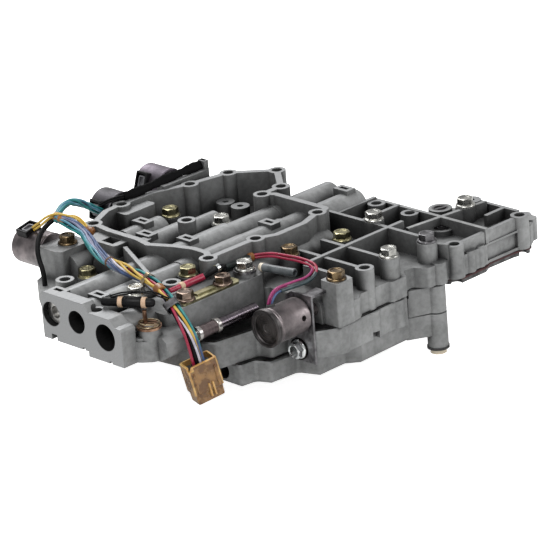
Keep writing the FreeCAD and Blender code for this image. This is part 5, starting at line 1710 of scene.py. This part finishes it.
@dataclass
class WireSleeves:
    """The sleeves over the leads on the deck: red with a cream band, a black clip, dark green, and grey.

    Sizes in millimetres. The red and the dark sleeve are first and last x, and the axis y and z.
    """

    red: tuple[float, float, float, float] = (57.0, 88.0, 15.4, 65.8)
    dark: tuple[float, float, float, float] = (104.0, 130.0, 14.4, 65.8)
    grey_start: Triple = (125.0, 1.0, 63.4)
    grey_end: Triple = (129.0, -24.0, 63.8)
    clip: tuple[Triple, ...] = (
        (86.5, 15.4, 65.8), (88.6, 14.2, 66.6), (91.2, 11.4, 68.8), (94.8, 9.7, 70.6), (98.4, 9.5, 70.8),
        (101.4, 11.0, 69.4), (103.2, 13.4, 66.9), (105.5, 14.4, 65.8))
    clip_radius: float = 2.05

    def bridge(self) -> Piece:
        """The moulded clip that joins two sleeves in front of the boss: a round section along its bend.

        The bend's corners are cut at a quarter and three quarters of each step.

        Returns:
            The clip, without a finish.
        """
        corners = layout(self.clip)
        middle = (corners[:-1] + corners[1:]) / 2
        cut = np.stack([(middle + corners[:-1]) / 2, (middle + corners[1:]) / 2], axis=1).reshape(-1, 3)
        path = np.concatenate([corners[:1], cut, corners[-1:]])
        tangent = unit(np.gradient(path, axis=0))
        side = unit(np.cross(tangent, UP))
        return tube("bridge", path, side, np.cross(side, tangent), self.clip_radius * MM, 28)

    def red_sleeve(self) -> None:
        """Makes the red sleeve, worn thin at its left end, with its cream band."""
        x0, x1, y, z = self.red
        length, start = x1 - x0, layout((x0, y, z))
        tube_rows = [(0.0, 0.0), (0.0, 1.2), (0.5, 1.7), (8.0, 1.8), (9.2, 1.9), (12.4, 2.1), (13.0, 2.35),
                     (20.0, 2.3), (28.0, 2.35), (length - 0.5, 2.3), (length, 1.9), (length, 0.0)]
        band_rows = [(9.0, 1.7), (9.0, 2.4), (9.4, 2.65), (12.0, 2.65), (12.4, 2.4), (12.4, 1.7)]
        red = dress(turned("red", tube_rows, start, RIGHT, 40), RED_SLEEVE)
        band = dress(turned("band", band_rows, start, RIGHT, 40, ring=True), CREAM_NYLON)
        on_housing(joined("red_sleeve_tube", [red, band]), "red_sleeve")

    def sleeve_clip(self) -> None:
        """Makes the clip with the bright strip round its top."""
        strip_rows = [(-1.3, 1.9), (-1.3, 2.5), (1.3, 2.5), (1.3, 1.9)]
        bridge = dress(self.bridge(), BLACK_NYLON)
        strip = turned("strip", strip_rows, layout(self.clip[3]), (1.0, -0.05, 0.05), 40, ring=True)
        on_housing(joined("sleeve_clip", [bridge, dress(strip, Plating.CHROME.value)]))

    def dark_sleeve(self) -> None:
        """Makes the dark green sleeve with the varnished knot at its right end."""
        x0, x1, y, z = self.dark
        length = x1 - x0
        rows = [(0.0, 0.0), (0.0, 1.9), (0.4, 2.3), (9.0, 2.35), (18.0, 2.25), (length - 0.4, 2.3),
                (length, 1.9), (length, 0.0)]
        dark = turned("dark_sleeve_tube", rows, layout((x0, y, z)), RIGHT, 40)
        on_housing(dress(dark, DARK_SLEEVE), "black_sleeve")
        knot_rows = [(-2.2, 1.2), (-2.0, 2.6), (-0.4, 3.1), (1.4, 2.8), (2.2, 1.2)]
        knot = turned("sleeve_knot", knot_rows, layout((x1 - 0.4, y, z)), (1.0, -0.4, 0.1), 32, ring=True)
        on_housing(dress(knot, AMBER_TAPE))

    def grey_sleeve(self) -> None:
        """Makes the grey sleeve, open at its front end, with a pale collar at its back."""
        start, along = layout(self.grey_start), layout(self.grey_end) - layout(self.grey_start)
        length = float(np.linalg.norm(along)) / MM
        rows = [(0.0, 0.0), (0.0, 2.2), (0.6, 2.8), (length * 0.5, 2.7), (length + 1.8, 2.85),
                (length + 2.1, 2.6), (length + 2.1, 2.0), (length - 2.5, 1.9), (length - 2.5, 0.0)]
        collar_rows = [(-0.3, 1.8), (-0.3, 2.7), (1.9, 2.9), (2.2, 2.7), (2.2, 1.8)]
        grey = dress(turned("grey", rows, start, along, 40), GREY_SLEEVE)
        collar = dress(turned("collar", collar_rows, start, along, 40, ring=True), WARM_NYLON)
        on_housing(joined("grey_sleeve_tube", [grey, collar]), "grey_sleeve")

    def build(self) -> None:
        """Makes the three sleeves and what holds their ends."""
        self.red_sleeve()
        self.sleeve_clip()
        self.dark_sleeve()
        self.grey_sleeve()


# Studio


@dataclass
class Studio:
    """A plain pale floor, soft light and the camera at the photo's angle.

    A light is its name, its place in metres, its size and its power.
    """

    camera_mm: Triple = (-1467.70, -1568.00, 884.40)
    right: Triple = (0.70663343, -0.7036262, -0.07469518)
    up: Triple = (0.30687879, 0.20963654, 0.92837381)
    back: Triple = (-0.63756929, -0.67894234, 0.36406415)
    focal_px: float = 3498.0
    frame_px: float = 550.0
    sensor_mm: float = 36.0
    floor_mm: float = -13.5
    floor_gap_mm: float = 0.1
    floor_half: float = 6.0
    lights: tuple[tuple[str, Triple, float, float], ...] = (
        ("key_light", (-0.9, -0.5, 1.3), 0.8, 16.0), ("back_light", (0.4, 1.0, 1.3), 0.9, 20.0),
        ("side_light", (0.9, -1.2, 0.7), 0.7, 8.0))
    lit_point: Triple = (0.0, 0.0, 0.04)
    sky: float = 0.55

    def build(self) -> None:
        """Sets camera, floor, lights and sky."""
        data = bpy.data.cameras.new("camera")
        data.sensor_width = self.sensor_mm
        data.lens = self.focal_px * self.sensor_mm / self.frame_px
        bpy.context.scene.camera = self.aimed("camera", data, (self.right, self.up, self.back),
                                              np.array(self.camera_mm) * MM)
        self.floor()
        for name, place, size, power in self.lights:
            light = bpy.data.lights.new(name, "AREA")
            light.size = size
            light.energy = power
            back = unit(np.array(place) - self.lit_point)
            right = unit(np.cross(UP, back))
            self.aimed(name, light, (right, np.cross(back, right), back), place)
        world = bpy.data.worlds.new("studio_sky")
        world.use_nodes = True
        background = world.node_tree.nodes["Background"]
        background.inputs["Color"].default_value = linear("ffffff")
        background.inputs["Strength"].default_value = self.sky
        bpy.context.scene.world = world
        bpy.context.scene.view_settings.view_transform = "Standard"
        LOG.info("studio ready")

    def floor(self) -> None:
        half = self.floor_half
        corners = np.array([[[-half, -half], [half, -half]], [[-half, half], [half, half]]])
        level = np.full((2, 2, 1), (self.floor_mm - self.floor_gap_mm) * MM)
        floor = surface("studio_floor", np.concatenate([corners, level], axis=2), False, False)
        if floor.data.polygons[0].normal.z < 0:
            floor.data.flip_normals()
        dress(floor, StudioFloor())

    @staticmethod
    def aimed(name: str, data: bpy.types.ID, axes: tuple, place: Triple | np.ndarray) -> Piece:
        """Puts a camera or a light at its place.

        Args:
            name: its name.
            data: the camera or the light.
            axes: its right, upward and backward directions.
            place: where it stands, in metres.

        Returns:
            The object, linked to the scene.
        """
        turn = np.eye(4)
        turn[:3, :3] = np.stack(axes, axis=1)
        turn[:3, 3] = place
        thing = placed(name, data)
        thing.matrix_world = Matrix(turn.tolist())
        return thing


def main() -> None:
    """Builds the studio, dresses the nodes and makes each sub-assembly in order."""
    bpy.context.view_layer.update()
    Studio().build()
    Harness().build()
    PlainNodes().build()
    Fasteners().build()
    ManualValve().build()
    BoreSprings().build()
    PressureSolenoid().build()
    ShiftSolenoids().build()
    TemperatureSensor().build()
    WireSleeves().build()


if __name__ == "__main__":
    main()
